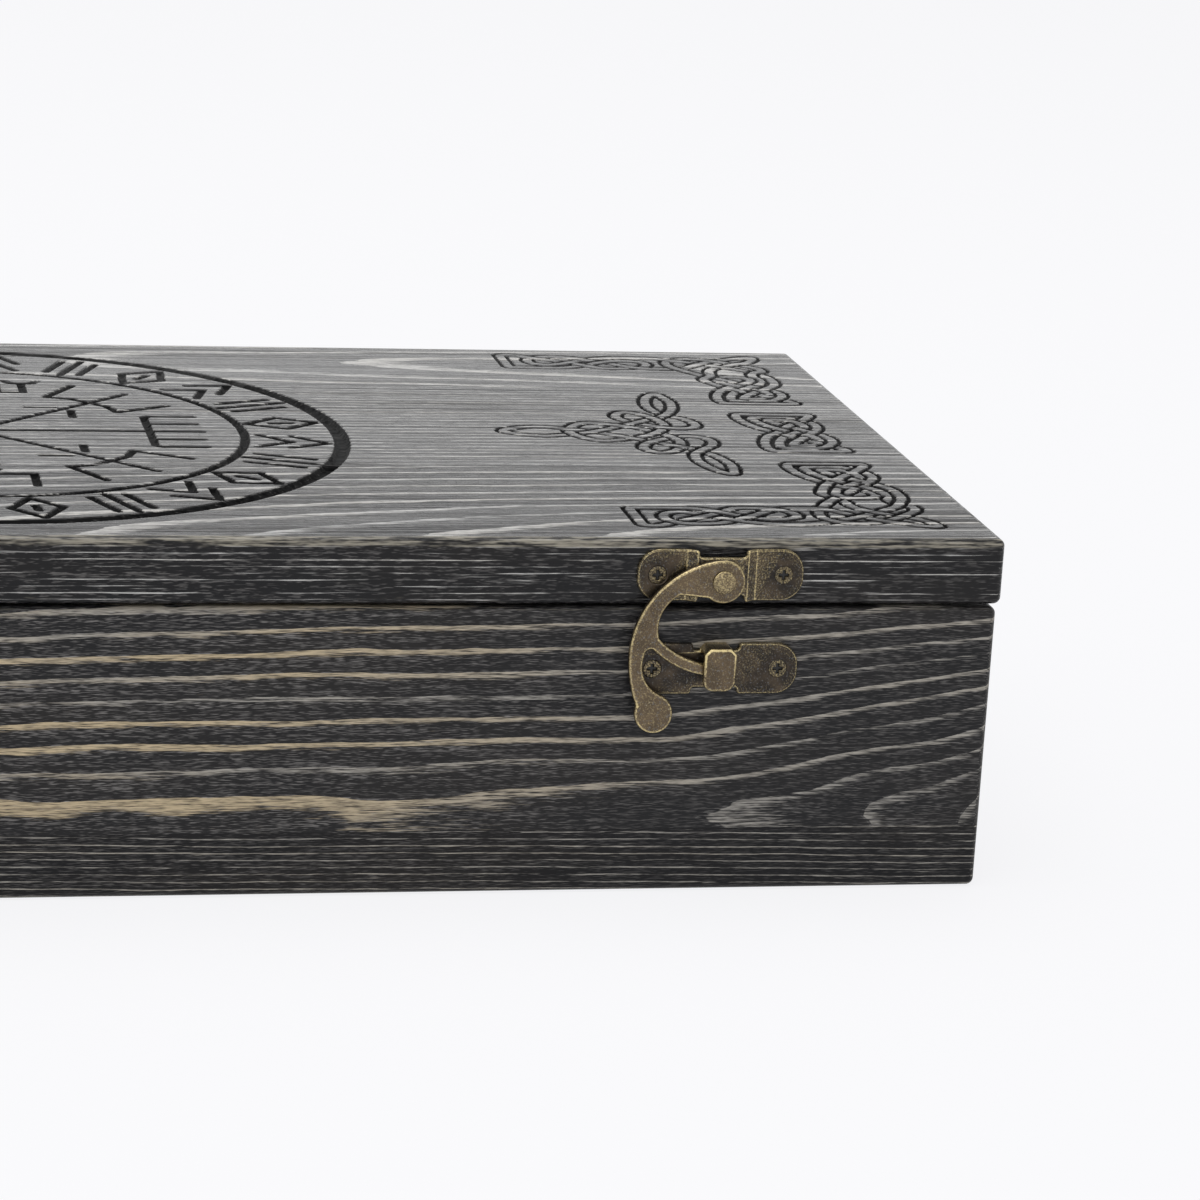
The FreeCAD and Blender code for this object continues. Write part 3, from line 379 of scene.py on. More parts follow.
cornerKnot = {  # three closed strands, given by points along their middle lines in mm
    "strands": [
        [
            (206.7, -33.4), (211.2, -33.4), (215.7, -33.6), (218.3, -35.8), (220.6, -39.6), (221, -43.4),
            (219.5, -47.2), (217.1, -50.5), (214.6, -53.5), (212.2, -56.9), (209.8, -60.4), (206, -64.9),
            (202.1, -70.5), (199.7, -75), (198.1, -78.4), (197.3, -83.5), (199.1, -88), (203.9, -90.3),
            (208.9, -89.5), (214.5, -86), (219, -81.7), (222.5, -77.4), (222.7, -73.6), (220.6, -72.6),
            (218.8, -69.1), (218.8, -65.3), (219.4, -61.5), (218.8, -58), (216.7, -54.5), (213.6, -51),
            (210.5, -47.6), (208.1, -43.8), (206.5, -39.9), (205.7, -36.5), (205.7, -34.2),
        ],
        [
            (202.1, -31.1), (201.8, -34), (202.2, -38.2), (203.4, -42.7), (205.3, -46.9), (208.2, -51),
            (211.2, -54.3), (214, -56.8), (216.2, -59.7), (216.7, -62.5), (214.5, -64.9), (210.8, -65.5),
            (208.2, -64.2), (206.9, -61.1), (208.2, -56.9), (211.2, -53.5), (214, -50.7), (216.4, -47.9),
            (217.5, -44.4), (217.3, -40.3), (215, -36.8), (211.4, -36), (209.4, -36.3), (210.3, -39.2),
            (212.9, -43.1), (215.7, -46.5), (218.5, -49.8), (220.9, -53.1), (222.5, -56.9), (222.9, -61.5),
            (222.3, -66), (220.7, -69.8), (218.6, -73.8), (215.5, -76.6), (211, -80.5), (206.4, -84.1),
            (201.4, -87.1), (196.8, -89.6), (191.3, -91.1), (184.7, -91.3), (179.1, -89.8), (174.6, -87.2),
            (170.6, -84.4), (166.5, -81.2), (162.5, -79.9), (159, -81.9), (158.3, -86.5), (161, -90.3),
            (165.5, -91.4), (171.1, -90.3), (176.1, -86.6), (180.7, -83), (184.7, -79.2), (189.2, -76.4),
            (193.8, -75.8), (198.8, -76.1), (202.4, -78.7), (205.9, -82.7), (211, -87.2), (216.5, -90.5),
            (221.1, -92.9), (223.6, -93.2), (223.9, -91), (221.1, -86.2), (216.5, -83.2), (212.5, -79.8),
            (208.9, -76.4), (207.6, -73.6), (207.1, -70.1), (206.5, -66.7), (204.2, -63.5), (203.5, -60.8),
            (204.6, -56.9), (207, -51.4), (210.1, -47.2), (213.6, -42.7), (216.4, -39.6), (218.8, -36.5),
            (221.2, -32.8), (222.1, -30.6), (220.9, -29.8), (215.7, -29.8), (208.7, -29.8), (203.2, -29.8),
        ],
        [
            (151.6, -77.1), (151.6, -83.5), (151.5, -90), (151.6, -92.3), (152.9, -93.1), (155.4, -93),
            (158.9, -90.6), (163, -87.5), (166.8, -85), (170.6, -82.3), (174.6, -78.4), (178.1, -76),
            (183.2, -76), (188.2, -77.3), (191.2, -80.9), (190.7, -84.6), (186.7, -86.6), (181.7, -85.9),
            (176.6, -82.7), (171.1, -78.2), (166, -76), (158.4, -75.9), (152.9, -75.9),
        ],
    ],
    "rearStart": 99.7,
    "frontStart": -95.3,
    "rearScale": 0.924,
}
panelKnot = {  # the rear half of each strand, mirrored about the middle
    "middle": 5.1,
    "outer": [
        (208.7, 5.1), (205.3, 8.9), (203.4, 13.1), (202.2, 17.6), (201.8, 21.8), (202.1, 24.7), (203.2, 26),
        (208.7, 26), (215.7, 26), (220.9, 26), (222.1, 25.2), (221.2, 23), (218.8, 19.3), (216.4, 16.2),
        (213.6, 13.1), (210.8, 8.9),
    ],
    "nested": [
        (217.9, 5.1), (220, 8.6), (221, 12.4), (220.6, 16.2), (218.3, 20), (215.7, 22.2), (211.2, 22.4),
        (206.7, 22.4), (205.7, 21.6), (205.7, 19.3), (206.5, 15.9), (208.1, 12), (210.3, 8.6),
    ],
    "loop": [
        (213.4, 5.1), (216, 7.9), (217.5, 11.3), (217.3, 15.5), (215, 19), (211.4, 19.8), (209.4, 19.5),
        (210.3, 16.6), (212.9, 12.7), (215.7, 8.9),
    ],
}
leafKnot = {  # half of one strand with three leaves, mirrored about the middle
    "middle": 4.1,
    "half": [
        (135.5, 4.1), (139.4, 7.7), (145.8, 9.3), (152.2, 7.4), (158, 4.7), (163.7, 0.8), (170.1, -4.6),
        (175.9, -9.5), (181, -13.9), (185.2, -20.7), (187.3, -29), (187.1, -35.4), (185.4, -41.2),
        (182.3, -37.3), (180.5, -30.9), (180.1, -25.2), (180.9, -19.7), (183.9, -14.9), (187.3, -10.4),
        (188.5, -5.9), (187.3, -2), (183.6, -0.3), (179.7, -1.3), (175.9, -3.7), (172.1, -6.9),
        (169.6, -10.4), (169, -14.6), (170.9, -18.2), (174.1, -18.2), (177.3, -14.9), (179.4, -9.8),
        (179.9, -4.3), (178.3, 0.5), (175.9, 4.3), (171.4, 8.9), (165.6, 12.5), (159.2, 14.1),
        (154.9, 10.1), (153, 4.1),
    ],
}
strandSet = {"width": 3.5, "line": 1.15, "samples": 8, "spare": 6, "nearby": 4, "probe": 0.05}


def mirrored(points, middle):  # the same points on the other side of the line y = middle
    return [(x, 2 * middle - y) for x, y in points]


# A closed curve through its points: each span is a cubic with the slope of its neighbours' chord.
def throughPoints(points):
    p = np.array(points, float)
    t = ((np.arange(strandSet["samples"]) + 0.5) / strandSet["samples"])[None, :, None]
    start, end = p[:, None], np.roll(p, -1, 0)[:, None]
    leave = (np.roll(p, -1, 0) - np.roll(p, 1, 0))[:, None] / 2
    arrive = np.roll(leave, -1, 0)
    spans = (2 * t**3 - 3 * t**2 + 1) * start + (t**3 - 2 * t**2 + t) * leave
    spans = spans + (3 * t**2 - 2 * t**3) * end + (t**3 - t**2) * arrive
    return spans.reshape(-1, 2)


# Crossings are where two short chords meet. The strand that turns left into a black square goes over.
def weave(curves):
    sizes = [len(c) for c in curves]
    owner = np.repeat(np.arange(len(curves)), sizes)
    index = np.concatenate([np.arange(n) for n in sizes])
    a = np.concatenate(curves)
    b = np.concatenate([np.roll(c, -1, 0) for c in curves])
    d = b - a
    cross = d[:, None, 0] * d[None, :, 1] - d[:, None, 1] * d[None, :, 0]
    gap = a[None] - a[:, None]
    with np.errstate(divide="ignore", invalid="ignore"):
        s = (gap[..., 0] * d[None, :, 1] - gap[..., 1] * d[None, :, 0]) / cross
        u = (gap[..., 0] * d[:, None, 1] - gap[..., 1] * d[:, None, 0]) / cross
    apart = np.abs(index[:, None] - index[None])
    same = owner[:, None] == owner[None]
    span = np.array(sizes)[owner][:, None]
    close = same & ((apart < strandSet["nearby"]) | (apart > span - strandSet["nearby"]))
    first, second = np.nonzero((s >= 0) & (s < 1) & (u >= 0) & (u < 1) & ~close)
    once = first < second
    first, second = first[once], second[once]

    def isBlack(spot):  # even or odd count of strands to the right of the spot
        spans = (a[:, 1] > spot[1]) != (b[:, 1] > spot[1])
        with np.errstate(divide="ignore", invalid="ignore"):
            x = a[:, 0] + (spot[1] - a[:, 1]) * d[:, 0] / d[:, 1]
        return np.count_nonzero(spans & (x > spot[0])) % 2 == 1

    marks = [[] for _ in curves]
    for i, j in zip(first, second):
        meet = a[i] + s[i, j] * d[i]
        one = d[i] / np.linalg.norm(d[i])
        two = d[j] / np.linalg.norm(d[j])
        two = two if one[0] * two[1] - one[1] * two[0] > 0 else -two
        over = isBlack(meet + strandSet["probe"] * (one + two))
        marks[owner[i]].append((index[i], over))
        marks[owner[j]].append((index[j], not over))
    return [sorted(m) for m in marks]


# A stretch is the part of a strand round one crossing, with a little more at each end to cut it square.
def strandStretches(curves):
    stretches = []
    spare = strandSet["spare"]
    for curve, marks in zip(curves, weave(curves)):
        n = len(curve)
        for k, (here, over) in enumerate(marks):
            before = marks[k - 1][0] - (n if k == 0 else 0)
            after = marks[(k + 1) % len(marks)][0] + (n if k == len(marks) - 1 else 0)
            low, high = (before + here) // 2, (here + after) // 2
            run = np.arange(low - spare, high + spare + 1)
            stretches.append({"points": curve[run % n], "core": (run >= low) & (run <= high), "over": over})
    return sorted(stretches, key=lambda stretch: stretch["over"])


frontCorner = [throughPoints(strand) for strand in cornerKnot["strands"]]
rearCorner = []
for curve in frontCorner:
    inward = (curve[:, 1] - cornerKnot["frontStart"]) * cornerKnot["rearScale"]
    rearCorner.append(np.stack([curve[:, 0], cornerKnot["rearStart"] - inward], 1))
outer, nested, loop = [panelKnot[k] for k in ("outer", "nested", "loop")]
panelMiddle = panelKnot["middle"]
panelStrands = [
    throughPoints(outer + mirrored(outer, panelMiddle)),
    throughPoints(nested + mirrored(loop, panelMiddle)),
    throughPoints(mirrored(nested, panelMiddle) + loop),
]
leafStrand = throughPoints(leafKnot["half"] + mirrored(leafKnot["half"][-2:0:-1], leafKnot["middle"]))
stretches = []
for knot in (frontCorner, rearCorner, panelStrands, [leafStrand]):
    stretches += strandStretches(knot)
print("stage: knots woven,", len(stretches), "stretches")


# Carved strokes

ringSet = {"outer": (92.3, 4.4), "inner": (68.0, 2.5), "depth": 1.5}
strokeSet = {
    "width": 2.3, "depth": 1.2, "knotDepth": 0.8, "wall": 0.28, "ropeLay": 2.3, "ropeSlant": 0.9,
    "ropeDepth": 0.38,
}
bandSet = {
    "repeats": 8, "low": 70.4, "high": 88.8, "half": 6.2, "bar": 2.5, "barGap": 4.6, "barInset": 2,
    "tipInset": 1,
}


def armPoints(lines, degrees):  # turns strokes that are drawn along +X to their own arm
    c, s = math.cos(math.radians(degrees)), math.sin(math.radians(degrees))
    return [[(c * x - s * y, s * x + c * y) for x, y in line] for line in lines]


combArm = [
    [(1, 0), (57.5, 0)],
    [(57, 16.6), (45.5, 16.6), (44.4, 15.4), (44.4, -15.4), (45.5, -16.6), (57, -16.6)],
    [(44.4, 8.4), (57, 8.4)],
    [(44.4, -8.4), (57, -8.4)],
]
forkArm = [
    [(1, 0), (59.5, 0)],
    [(45, 0), (45, 6), (42, 12), (57, 16)],
    [(45, 0), (45, -6), (42, -12), (57, -16)],
    [(29.5, 7.8), (34.5, 2.9)],
    [(29.5, -7.8), (34.5, -2.9)],
]
bracketArm = [[(1, 0), (57.5, 0)], [(57.5, 12.2), (45.8, 12.2), (45.8, -12.2), (57.5, -12.2)]]
bracketArm += [[(x, -3.6), (x, 3.6)] for x in (32, 36.8, 41.6)]
crownArm = [[(1, 0), (58, 0)], [(53.6, 15.8), (43.5, 15.8), (43.5, -15.8), (53.6, -15.8)]]
for s in (1, -1):  # a cup on each outer prong, and two short bars inside it
    crownArm.append([(56.8, s * 11.6), (54.4, s * 12.8), (53.6, s * 15.8), (54.4, s * 18.8), (56.8, s * 20)])
    crownArm += [[(44, s * 9.2), (50.5, s * 9.2)], [(51, s * 6.4), (55.5, s * 6.6)]]
plainStrokes = armPoints(combArm, 0) + armPoints(crownArm, 90) + armPoints(bracketArm, -90)
ropeStrokes = []
for degrees in (45, -45):
    ropeStrokes += armPoints(forkArm[:1], degrees)
    plainStrokes += armPoints(forkArm[1:], degrees)


# Three plain shapes follow each other round the band: a lozenge with a bar, three bars, and two chevrons.
def bandStrokes():
    low, high, half = bandSet["low"], bandSet["high"], bandSet["half"]
    middle = (low + high) / 2
    bar, gap, tip = bandSet["bar"], bandSet["barGap"], low + bandSet["tipInset"]
    start, end = low + bandSet["barInset"], high - bandSet["barInset"]
    lozenge = [(low, 0), (middle, half), (high, 0), (middle, -half), (low, 0)]
    shapes = [
        [lozenge, [(middle - bar, 0), (middle + bar, 0)]],
        [[(start, -gap), (end, -gap)], [(low, 0), (high, 0)], [(start, gap), (end, gap)]],
        [[(tip, -half), (middle, 0), (tip, half)], [(middle, -half), (high, 0), (middle, half)]],
    ]
    strokes = []
    count = bandSet["repeats"] * len(shapes)
    for k in range(count):
        strokes += armPoints(shapes[k % len(shapes)], (k + 0.5) * 360 / count)
    return strokes


plainStrokes += bandStrokes()


def window(lines, low, high, margin):  # the run of grid lines between low and high
    return slice(np.searchsorted(lines, low - margin), np.searchsorted(lines, high + margin))


# A groove is as deep as a trapezium over the distance from its middle line: steep walls and a flat floor.
def trough(distance, width):
    return np.clip((width / 2 - distance) / (strokeSet["wall"] * width), 0, 1)


# A stroke cuts a groove along each of its straight spans, as deep as the distance to the span allows.
def cutStroke(depth, xs, ys, points, rope):
    width = strokeSet["width"]
    for (x0, y0), (x1, y1) in zip(points[:-1], points[1:]):
        i = window(xs, min(x0, x1), max(x0, x1), width)
        j = window(ys, min(y0, y1), max(y0, y1), width)
        if xs[i].size == 0 or ys[j].size == 0:
            continue
        gx, gy = xs[i][:, None] - x0, ys[j][None] - y0
        length = math.hypot(x1 - x0, y1 - y0)
        ux, uy = (x1 - x0) / length, (y1 - y0) / length
        t = np.clip(gx * ux + gy * uy, 0, length)
        off = np.hypot(gx - t * ux, gy - t * uy)
        cut = strokeSet["depth"] * trough(off, width)
        if rope:  # slanting ridges, left across the groove by the cutter
            lay = t + strokeSet["ropeSlant"] * (gx * uy - gy * ux)
            ridge = 1 - np.sin(lay * 2 * np.pi / strokeSet["ropeLay"])
            cut = cut * (1 - strokeSet["ropeDepth"] * ridge)
        depth[i, j] = np.maximum(depth[i, j], cut)


# Painted from the lower stretches to the upper ones: the inside of a band wipes what lies under it.
def cutKnots(depth, xs, ys):
    half, line = strandSet["width"] / 2, strandSet["line"]
    for stretch in stretches:
        p = stretch["points"]
        i = window(xs, p[:, 0].min(), p[:, 0].max(), half + line)
        j = window(ys, p[:, 1].min(), p[:, 1].max(), half + line)
        if xs[i].size == 0 or ys[j].size == 0:
            continue
        square = (xs[i][:, None, None] - p[:, 0]) ** 2 + (ys[j][None, :, None] - p[:, 1]) ** 2
        off = np.sqrt(square.min(2))
        core = stretch["core"][square.argmin(2)]
        groove = strokeSet["knotDepth"] * trough(np.abs(off - half), line)
        old = depth[i, j]
        depth[i, j] = np.where(core & (off < half), groove, np.where(core, np.maximum(old, groove), old))


def carveDepth(xs, ys):  # depth in mm on the grid of xs and ys, the same on both halves of the lid
    flip = xs.mean() < 0
    right = -xs[::-1] if flip else xs
    depth = np.zeros((len(right), len(ys)))
    cutKnots(depth, right, ys)
    radius = np.hypot(right[:, None], ys[None])
    for middle, width in (ringSet["outer"], ringSet["inner"]):
        depth = np.maximum(depth, ringSet["depth"] * trough(np.abs(radius - middle), width))
    for points in plainStrokes:
        cutStroke(depth, right, ys, points, False)
    for points in ropeStrokes:
        cutStroke(depth, right, ys, points, True)
    return depth[::-1] if flip else depth


# Carved lid

lid = {
    "staves": ("lid_front_stave", "lid_middle_stave", "lid_rear_stave"),
    "cuts": (-237, -115, 0, 115, 237),
    "ringEnd": 97.5,
    "knotStart": 130.5,
    "knotEnd": 226.5,
    "ringStep": 0.42,
    "knotStep": 0.34,
    "rowStep": 0.36,
    "coarse": 3.0,
    "round": 1.8,
    "roundSteps": 7,
    "endRim": 1.2,
    "underStep": 12,
    "gluedStep": 6,
    "sideStep": 0.8,
    "wornAndHighlitBelow": 1.2,
    "wornAndHighlitAbove": 0.9,
    "sideWearAndHighlight": 0.7,
    "underWear": 0.4,
    "burntDepth": 0.45,
    "doubled": 1e-6,
    "sharpAngle": math.radians(75),
}
lidBoard = {
    "along": "x", "ripple": 0.22, "broken": 3.2, "fleck": 0.6, "wearAndHighlight": 0.95, "line": wideLine, "amount": 1.1,
    "warm": (0.1, 0.1), "sideLoss": 0.34, "sideQuiet": 0.25, "edgeSpacing": 1.6, "stripe": (160, 1.4, 1.4),
    # the lid's lines take the bright tone, lighter than the case's: a painted sheen
    "dull": 0.24, "thinning": 0, "tint": "bright", "coarse": 2.4, "roughness": 0.15, "specular": 0.46,
}
lidGrain = {
    "lid_front_stave": {
        **lidBoard, "sway": 0.7, "line": (0.6, 0.85, 0.955), "amount": 1.25, "specular": 0.24,
        "rings": [{"pith": (-108, 46.6), "lean": (0.0, 0.16), "spacing": 6.4, "start": 0}],
    },
    "lid_middle_stave": {
        **lidBoard, "sway": 1.2, "line": (0.62, 0.84, 0.955),
        "rings": [{"pith": (-90, 20), "lean": (0.0, 0.0), "spacing": 2.6, "start": 0}],
    },
    "lid_rear_stave": {
        **lidBoard, "sway": 1.3, "amount": 1.2, "specular": 0.85,
        "rings": [{"pith": (84, 52), "lean": (-0.02, 0.05), "spacing": 4.2, "start": 0}],
    },
}


def spread(start, end, step):  # evenly spaced lines, with both ends
    return np.linspace(start, end, max(2, int(math.ceil(abs(end - start) / step)) + 1))


# The columns of one length of the lid, and how far the outer faces draw in at a rounded end. The last
# column lies on the end face, a little inside its rim.
def lidColumns(low, high):
    outer = max(abs(low), abs(high))
    inner = min(abs(low), abs(high))
    if inner == 0:
        carvedPart = spread(0, lid["ringEnd"], lid["ringStep"])
        lines = np.concatenate([carvedPart, spread(lid["ringEnd"], outer, lid["coarse"])[1:]])
        drawIn = np.zeros(len(lines))
    else:
        flatEnd = outer - lid["round"]
        turn = np.linspace(0, np.pi / 2, lid["roundSteps"])[1:]
        flat = [
            spread(inner, lid["knotStart"], lid["coarse"]),
            spread(lid["knotStart"], lid["knotEnd"], lid["knotStep"])[1:],
            spread(lid["knotEnd"], flatEnd, lid["coarse"])[1:],
        ]
        lines = np.concatenate([*flat, flatEnd + lid["round"] * np.sin(turn), [outer]])
        rounded = [*(lid["round"] * (1 - np.cos(turn))), lid["round"] + lid["endRim"]]
        drawIn = np.concatenate([np.zeros(len(lines) - len(rounded)), rounded])
    return (-lines[::-1], drawIn[::-1]) if high <= 0 else (lines, drawIn)


# A stave's section, once round: under face, front, top and back, with a quarter circle at each outer edge.
# Each point carries its inward direction, which is nil along a glued joint, and the share of wear and painted
# highlight on it.
def staveSection(front, back, floor, top, roundFront, roundBack):
    r = lid["round"]
    arc = np.linspace(0, np.pi / 2, lid["roundSteps"])
    y0 = front + r if roundFront else front
    y1 = back - r if roundBack else back
    runs = []  # y, z, inward y, inward z, wear and painted highlight, kind

    def run(y, z, inY, inZ, wearAndHighlight, kind):  # a row of points, single values being the same for all of them
        values = [np.atleast_1d(np.asarray(v, float)) for v in (y, z, inY, inZ, wearAndHighlight, kind)]
        runs.append(np.stack(np.broadcast_arrays(*values), 1))

    def wornAndHighlit(rise):  # the rubbed strip below an upper edge, with its painted highlight
        return np.clip(1 - (top - r - rise) / lid["wornAndHighlitBelow"], 0, 1) * lid["sideWearAndHighlight"]

    run(spread(y1, y0, lid["underStep"])[:-1], floor, 0, 1, 0, 0)
    glued = spread(floor, top, lid["gluedStep"])
    under = lid["underWear"]
    gluedIn = np.array([1, *np.zeros(len(glued) - 2), -1])
    if roundFront:
        run(y0 - r * np.sin(arc), floor + r - r * np.cos(arc), np.sin(arc), np.cos(arc), under, 1)
        rise = spread(floor + r, top - r, lid["sideStep"])[1:-1]
        run(front, rise, 1, 0, wornAndHighlit(rise), 1)
        run(y0 - r * np.cos(arc), top - r + r * np.sin(arc), np.cos(arc), -np.sin(arc), 1, 1)
    else:
        run(front, glued, 0, gluedIn, 0, 0)
    rows = spread(y0, y1, lid["rowStep"])[1:-1]
    near = rows - y0 if roundFront else np.full(rows.shape, top)
    far = y1 - rows if roundBack else np.full(rows.shape, top)
    run(rows, top, 0, -1, np.clip(1 - np.minimum(near, far) / lid["wornAndHighlitAbove"], 0, 1), 2)
    if roundBack:
        run(y1 + r * np.sin(arc), top - r + r * np.cos(arc), -np.sin(arc), -np.cos(arc), 1, 1)
        rise = spread(top - r, floor + r, lid["sideStep"])[1:-1]
        run(back, rise, -1, 0, wornAndHighlit(rise), 1)
        run(y1 + r * np.cos(arc), floor + r - r * np.sin(arc), -np.cos(arc), np.sin(arc), under, 1)
    else:
        run(back, glued[::-1], 0, -gluedIn, 0, 0)
    section = np.concatenate(runs)
    step = np.abs(section[:, :2] - np.roll(section[:, :2], 1, 0)).sum(1)
    return section[step > lid["doubled"]]


def meshFrom(name, points, quads, caps, smooth):  # one mesh from whole arrays, in mm
    mesh = bpy.data.meshes.new(name)
    corners = np.concatenate([quads.ravel(), *caps]).astype(np.int32)
    sizes = np.concatenate([np.full(len(quads), 4), [len(c) for c in caps]]).astype(np.int32)
    mesh.vertices.add(len(points))
    mesh.vertices.foreach_set("co", (points / 1000).astype(np.float32).ravel())
    mesh.loops.add(len(corners))
    mesh.loops.foreach_set("vertex_index", corners)
    mesh.polygons.add(len(sizes))
    mesh.polygons.foreach_set("loop_start", np.concatenate([[0], np.cumsum(sizes)[:-1]]).astype(np.int32))
    mesh.polygons.foreach_set("use_smooth", np.concatenate([smooth, np.zeros(len(caps), bool)]))
    mesh.update(calc_edges=True)
    mesh.validate()
    mesh.set_sharp_from_angle(angle=lid["sharpAngle"])
    return mesh


# A finished piece rides on its body, takes its material, and stands in for the nodes that it replaces.
def addPiece(name, mesh, material, body, slot, *replaced):
    piece = bpy.data.objects.new(name, mesh)
    bpy.context.scene.collection.objects.link(piece)
    mesh.materials.append(material)
    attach(piece, body)
    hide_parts(*replaced)
    return piece


def addLayer(mesh, name, values):  # one number for each vertex, for the material
    layer = mesh.attributes.new(name, "FLOAT", "POINT")
    layer.data.foreach_set("value", np.clip(values, 0, 1).astype(np.float32).ravel())


# The section is carried along the lid: z is lowered by the carving on the top rows, and near a rounded end
# every outer face moves inward by a quarter circle.
def lidLength(stave, number, low, high, section, material):
    xs, drawIn = lidColumns(low, high)
    y = section[None, :, 0] + drawIn[:, None] * section[None, :, 2]
    z = section[None, :, 1] + drawIn[:, None] * section[None, :, 3]
    if drawIn.max() > lid["round"]:  # the last column lies on the end face, inside its outline
        last, outline = (0, 1) if high <= 0 else (-1, -2)
        for grid in (y, z):
            start, end = grid[outline].min(), grid[outline].max()
            middle = (start + end) / 2
            grid[last] = middle + (grid[outline] - middle) * (1 - 2 * lid["endRim"] / (end - start))
    top = section[:, 5] == 2
    outside = section[None, :, 5] > 0
    depth = np.zeros(y.shape)
    depth[:, top] = carveDepth(xs, section[top, 0])
    x = np.broadcast_to(xs[:, None], y.shape)
    points = np.stack([x, y, z - depth], 2).reshape(-1, 3)
    cols, rows = y.shape
    i, j = np.meshgrid(np.arange(cols - 1), np.arange(rows), indexing="ij")
    k = (j + 1) % rows
    quads = np.stack([i * rows + j, i * rows + k, (i + 1) * rows + k, (i + 1) * rows + j], 2).reshape(-1, 4)
    smooth = (outside[0][j] & outside[0][k]).ravel()
    caps = [np.arange(rows)[::-1], (cols - 1) * rows + np.arange(rows)]
    mesh = meshFrom(f"{stave}_{number}", points, quads[:, ::-1], [c[::-1] for c in caps], smooth)
    rounding = np.clip(drawIn / lid["round"], 0, 1)[:, None]
    onRim = (drawIn <= lid["round"])[:, None]
    addLayer(mesh, "carve", depth / lid["burntDepth"])
    # The lid's edges take the pale worn colour: rubbed stain with a painted highlight on the rounded edges
    addLayer(mesh, "wearAndHighlight", np.where(onRim, np.maximum(section[None, :, 4], rounding * outside), 0))
    addLayer(mesh, "side", np.maximum(section[None, :, 5] == 1, rounding))
    return addPiece(mesh.name, mesh, material, "lid", "stained_pine", stave)


lidTriangles = 0
for stave in lid["staves"]:
    (_, front, floor), (_, back, top) = [[1000 * v for v in c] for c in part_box(stave)]
    section = staveSection(front, back, floor, top, stave == "lid_front_stave", stave == "lid_rear_stave")
    material = pineFinish(stave + "_pine", lidGrain[stave], carved=True)
    for number, (low, high) in enumerate(zip(lid["cuts"][:-1], lid["cuts"][1:])):
        piece = lidLength(stave, number + 1, low, high, section, material)
        lidTriangles += 2 * len(piece.data.polygons)
print("stage: lid carved,", lidTriangles, "triangles")


# Antique brass

brass = {
    "brown": linear(106, 92, 75),
    "dark": linear(50, 47, 45),
    "gold": linear(222, 203, 152),
    "bloom": linear(128, 130, 132),
    "sootAndShade": linear(8, 7, 6),
    "roughness": 0.38,
    "proud": (108.3, 110.2),
    "blotchLength": 4, "gritLength": 0.4, "speckLength": 0.55,
    "proudShare": 0.55, "blotch": (0.3, 0.75), "blotchShare": 0.45, "speck": (0.56, 0.72),
    "gritShare": 1.7, "wearAndHighlightShare": 0.8, "rubAndHighlightMiddle": 0.68, "proudRub": 0.12, "rubAndHighlight": (0.42, 1.3),
    "bloomRough": 0.35, "rubAndHighlightSmooth": 0.14, "bloomDull": 0.6, "bump": (0.3, 0.0001),
}
metalFinishes = {  # share of bright metal, share of grey bloom
    "antique_brass": (0.05, 0.45),
    "worn_brass": (0.34, 0.2),
    "screw_brass": (0.42, 0.3),
}


# Brown patina that is lighter where a part stands proud of the wood, with fine grey bloom, bright metal where
# the wear layer is high (worn edges, partly a painted highlight) and dark dirt with painted shade in the
# recesses.
def brassFinish(name, bright, bloomShare):
    material, tree, shader, place = newFinish(name)
    blotch = noise(tree, place, [brass["blotchLength"]] * 3, 3.0, 0.5)
    grit = noise(tree, place, [brass["gritLength"]] * 3, 3.0, 0.65)
    speck = noise(tree, place, [brass["speckLength"]] * 3, 2.0, 0.6)
    wearAndHighlight = attribute(tree, "wearAndHighlight")
    recessDirtAndShade = attribute(tree, "recessDirtAndShade")
    forward = calc(tree, "MULTIPLY", addNode(tree, "ShaderNodeSeparateXYZ", {0: place}).outputs[1], -1.0)
    proud = ease(tree, forward, *brass["proud"])
    blotched = calc(tree, "MULTIPLY", ease(tree, blotch, *brass["blotch"]), brass["blotchShare"])
    lighter = scaleAdd(tree, proud, brass["proudShare"], blotched)
    ground = blendColour(tree, lighter, brass["dark"], brass["brown"])
    bloom = calc(tree, "MULTIPLY", ease(tree, speck, *brass["speck"]), bloomShare)
    ground = blendColour(tree, bloom, ground, brass["bloom"])
    # Gold on worn edges: bright metal rubbed through, and a painted highlight along the rounded edges
    rubAndHighlight = scaleAdd(tree, wearAndHighlight, brass["wearAndHighlightShare"], bright - brass["rubAndHighlightMiddle"])
    rubAndHighlight = scaleAdd(tree, grit, brass["gritShare"], rubAndHighlight)
    rubAndHighlight = ease(tree, scaleAdd(tree, proud, brass["proudRub"], rubAndHighlight), *brass["rubAndHighlight"])
    colour = blendColour(tree, rubAndHighlight, ground, brass["gold"])
    # Near-black on the recess layer: dark dirt and painted shade in the screws' cross and round their rims
    colour = blendColour(tree, recessDirtAndShade, colour, brass["sootAndShade"])
    rough = scaleAdd(tree, bloom, brass["bloomRough"], brass["roughness"])
    rough = scaleAdd(tree, rubAndHighlight, -brass["rubAndHighlightSmooth"], rough)
    dull = calc(tree, "MAXIMUM", recessDirtAndShade, calc(tree, "MULTIPLY", bloom, brass["bloomDull"]))
    metallic = calc(tree, "SUBTRACT", 1.0, dull)
    normal = bumped(tree, grit, *brass["bump"])
    fill(tree, shader, {"Base Color": colour, "Roughness": rough, "Metallic": metallic, "Normal": normal})
    return material


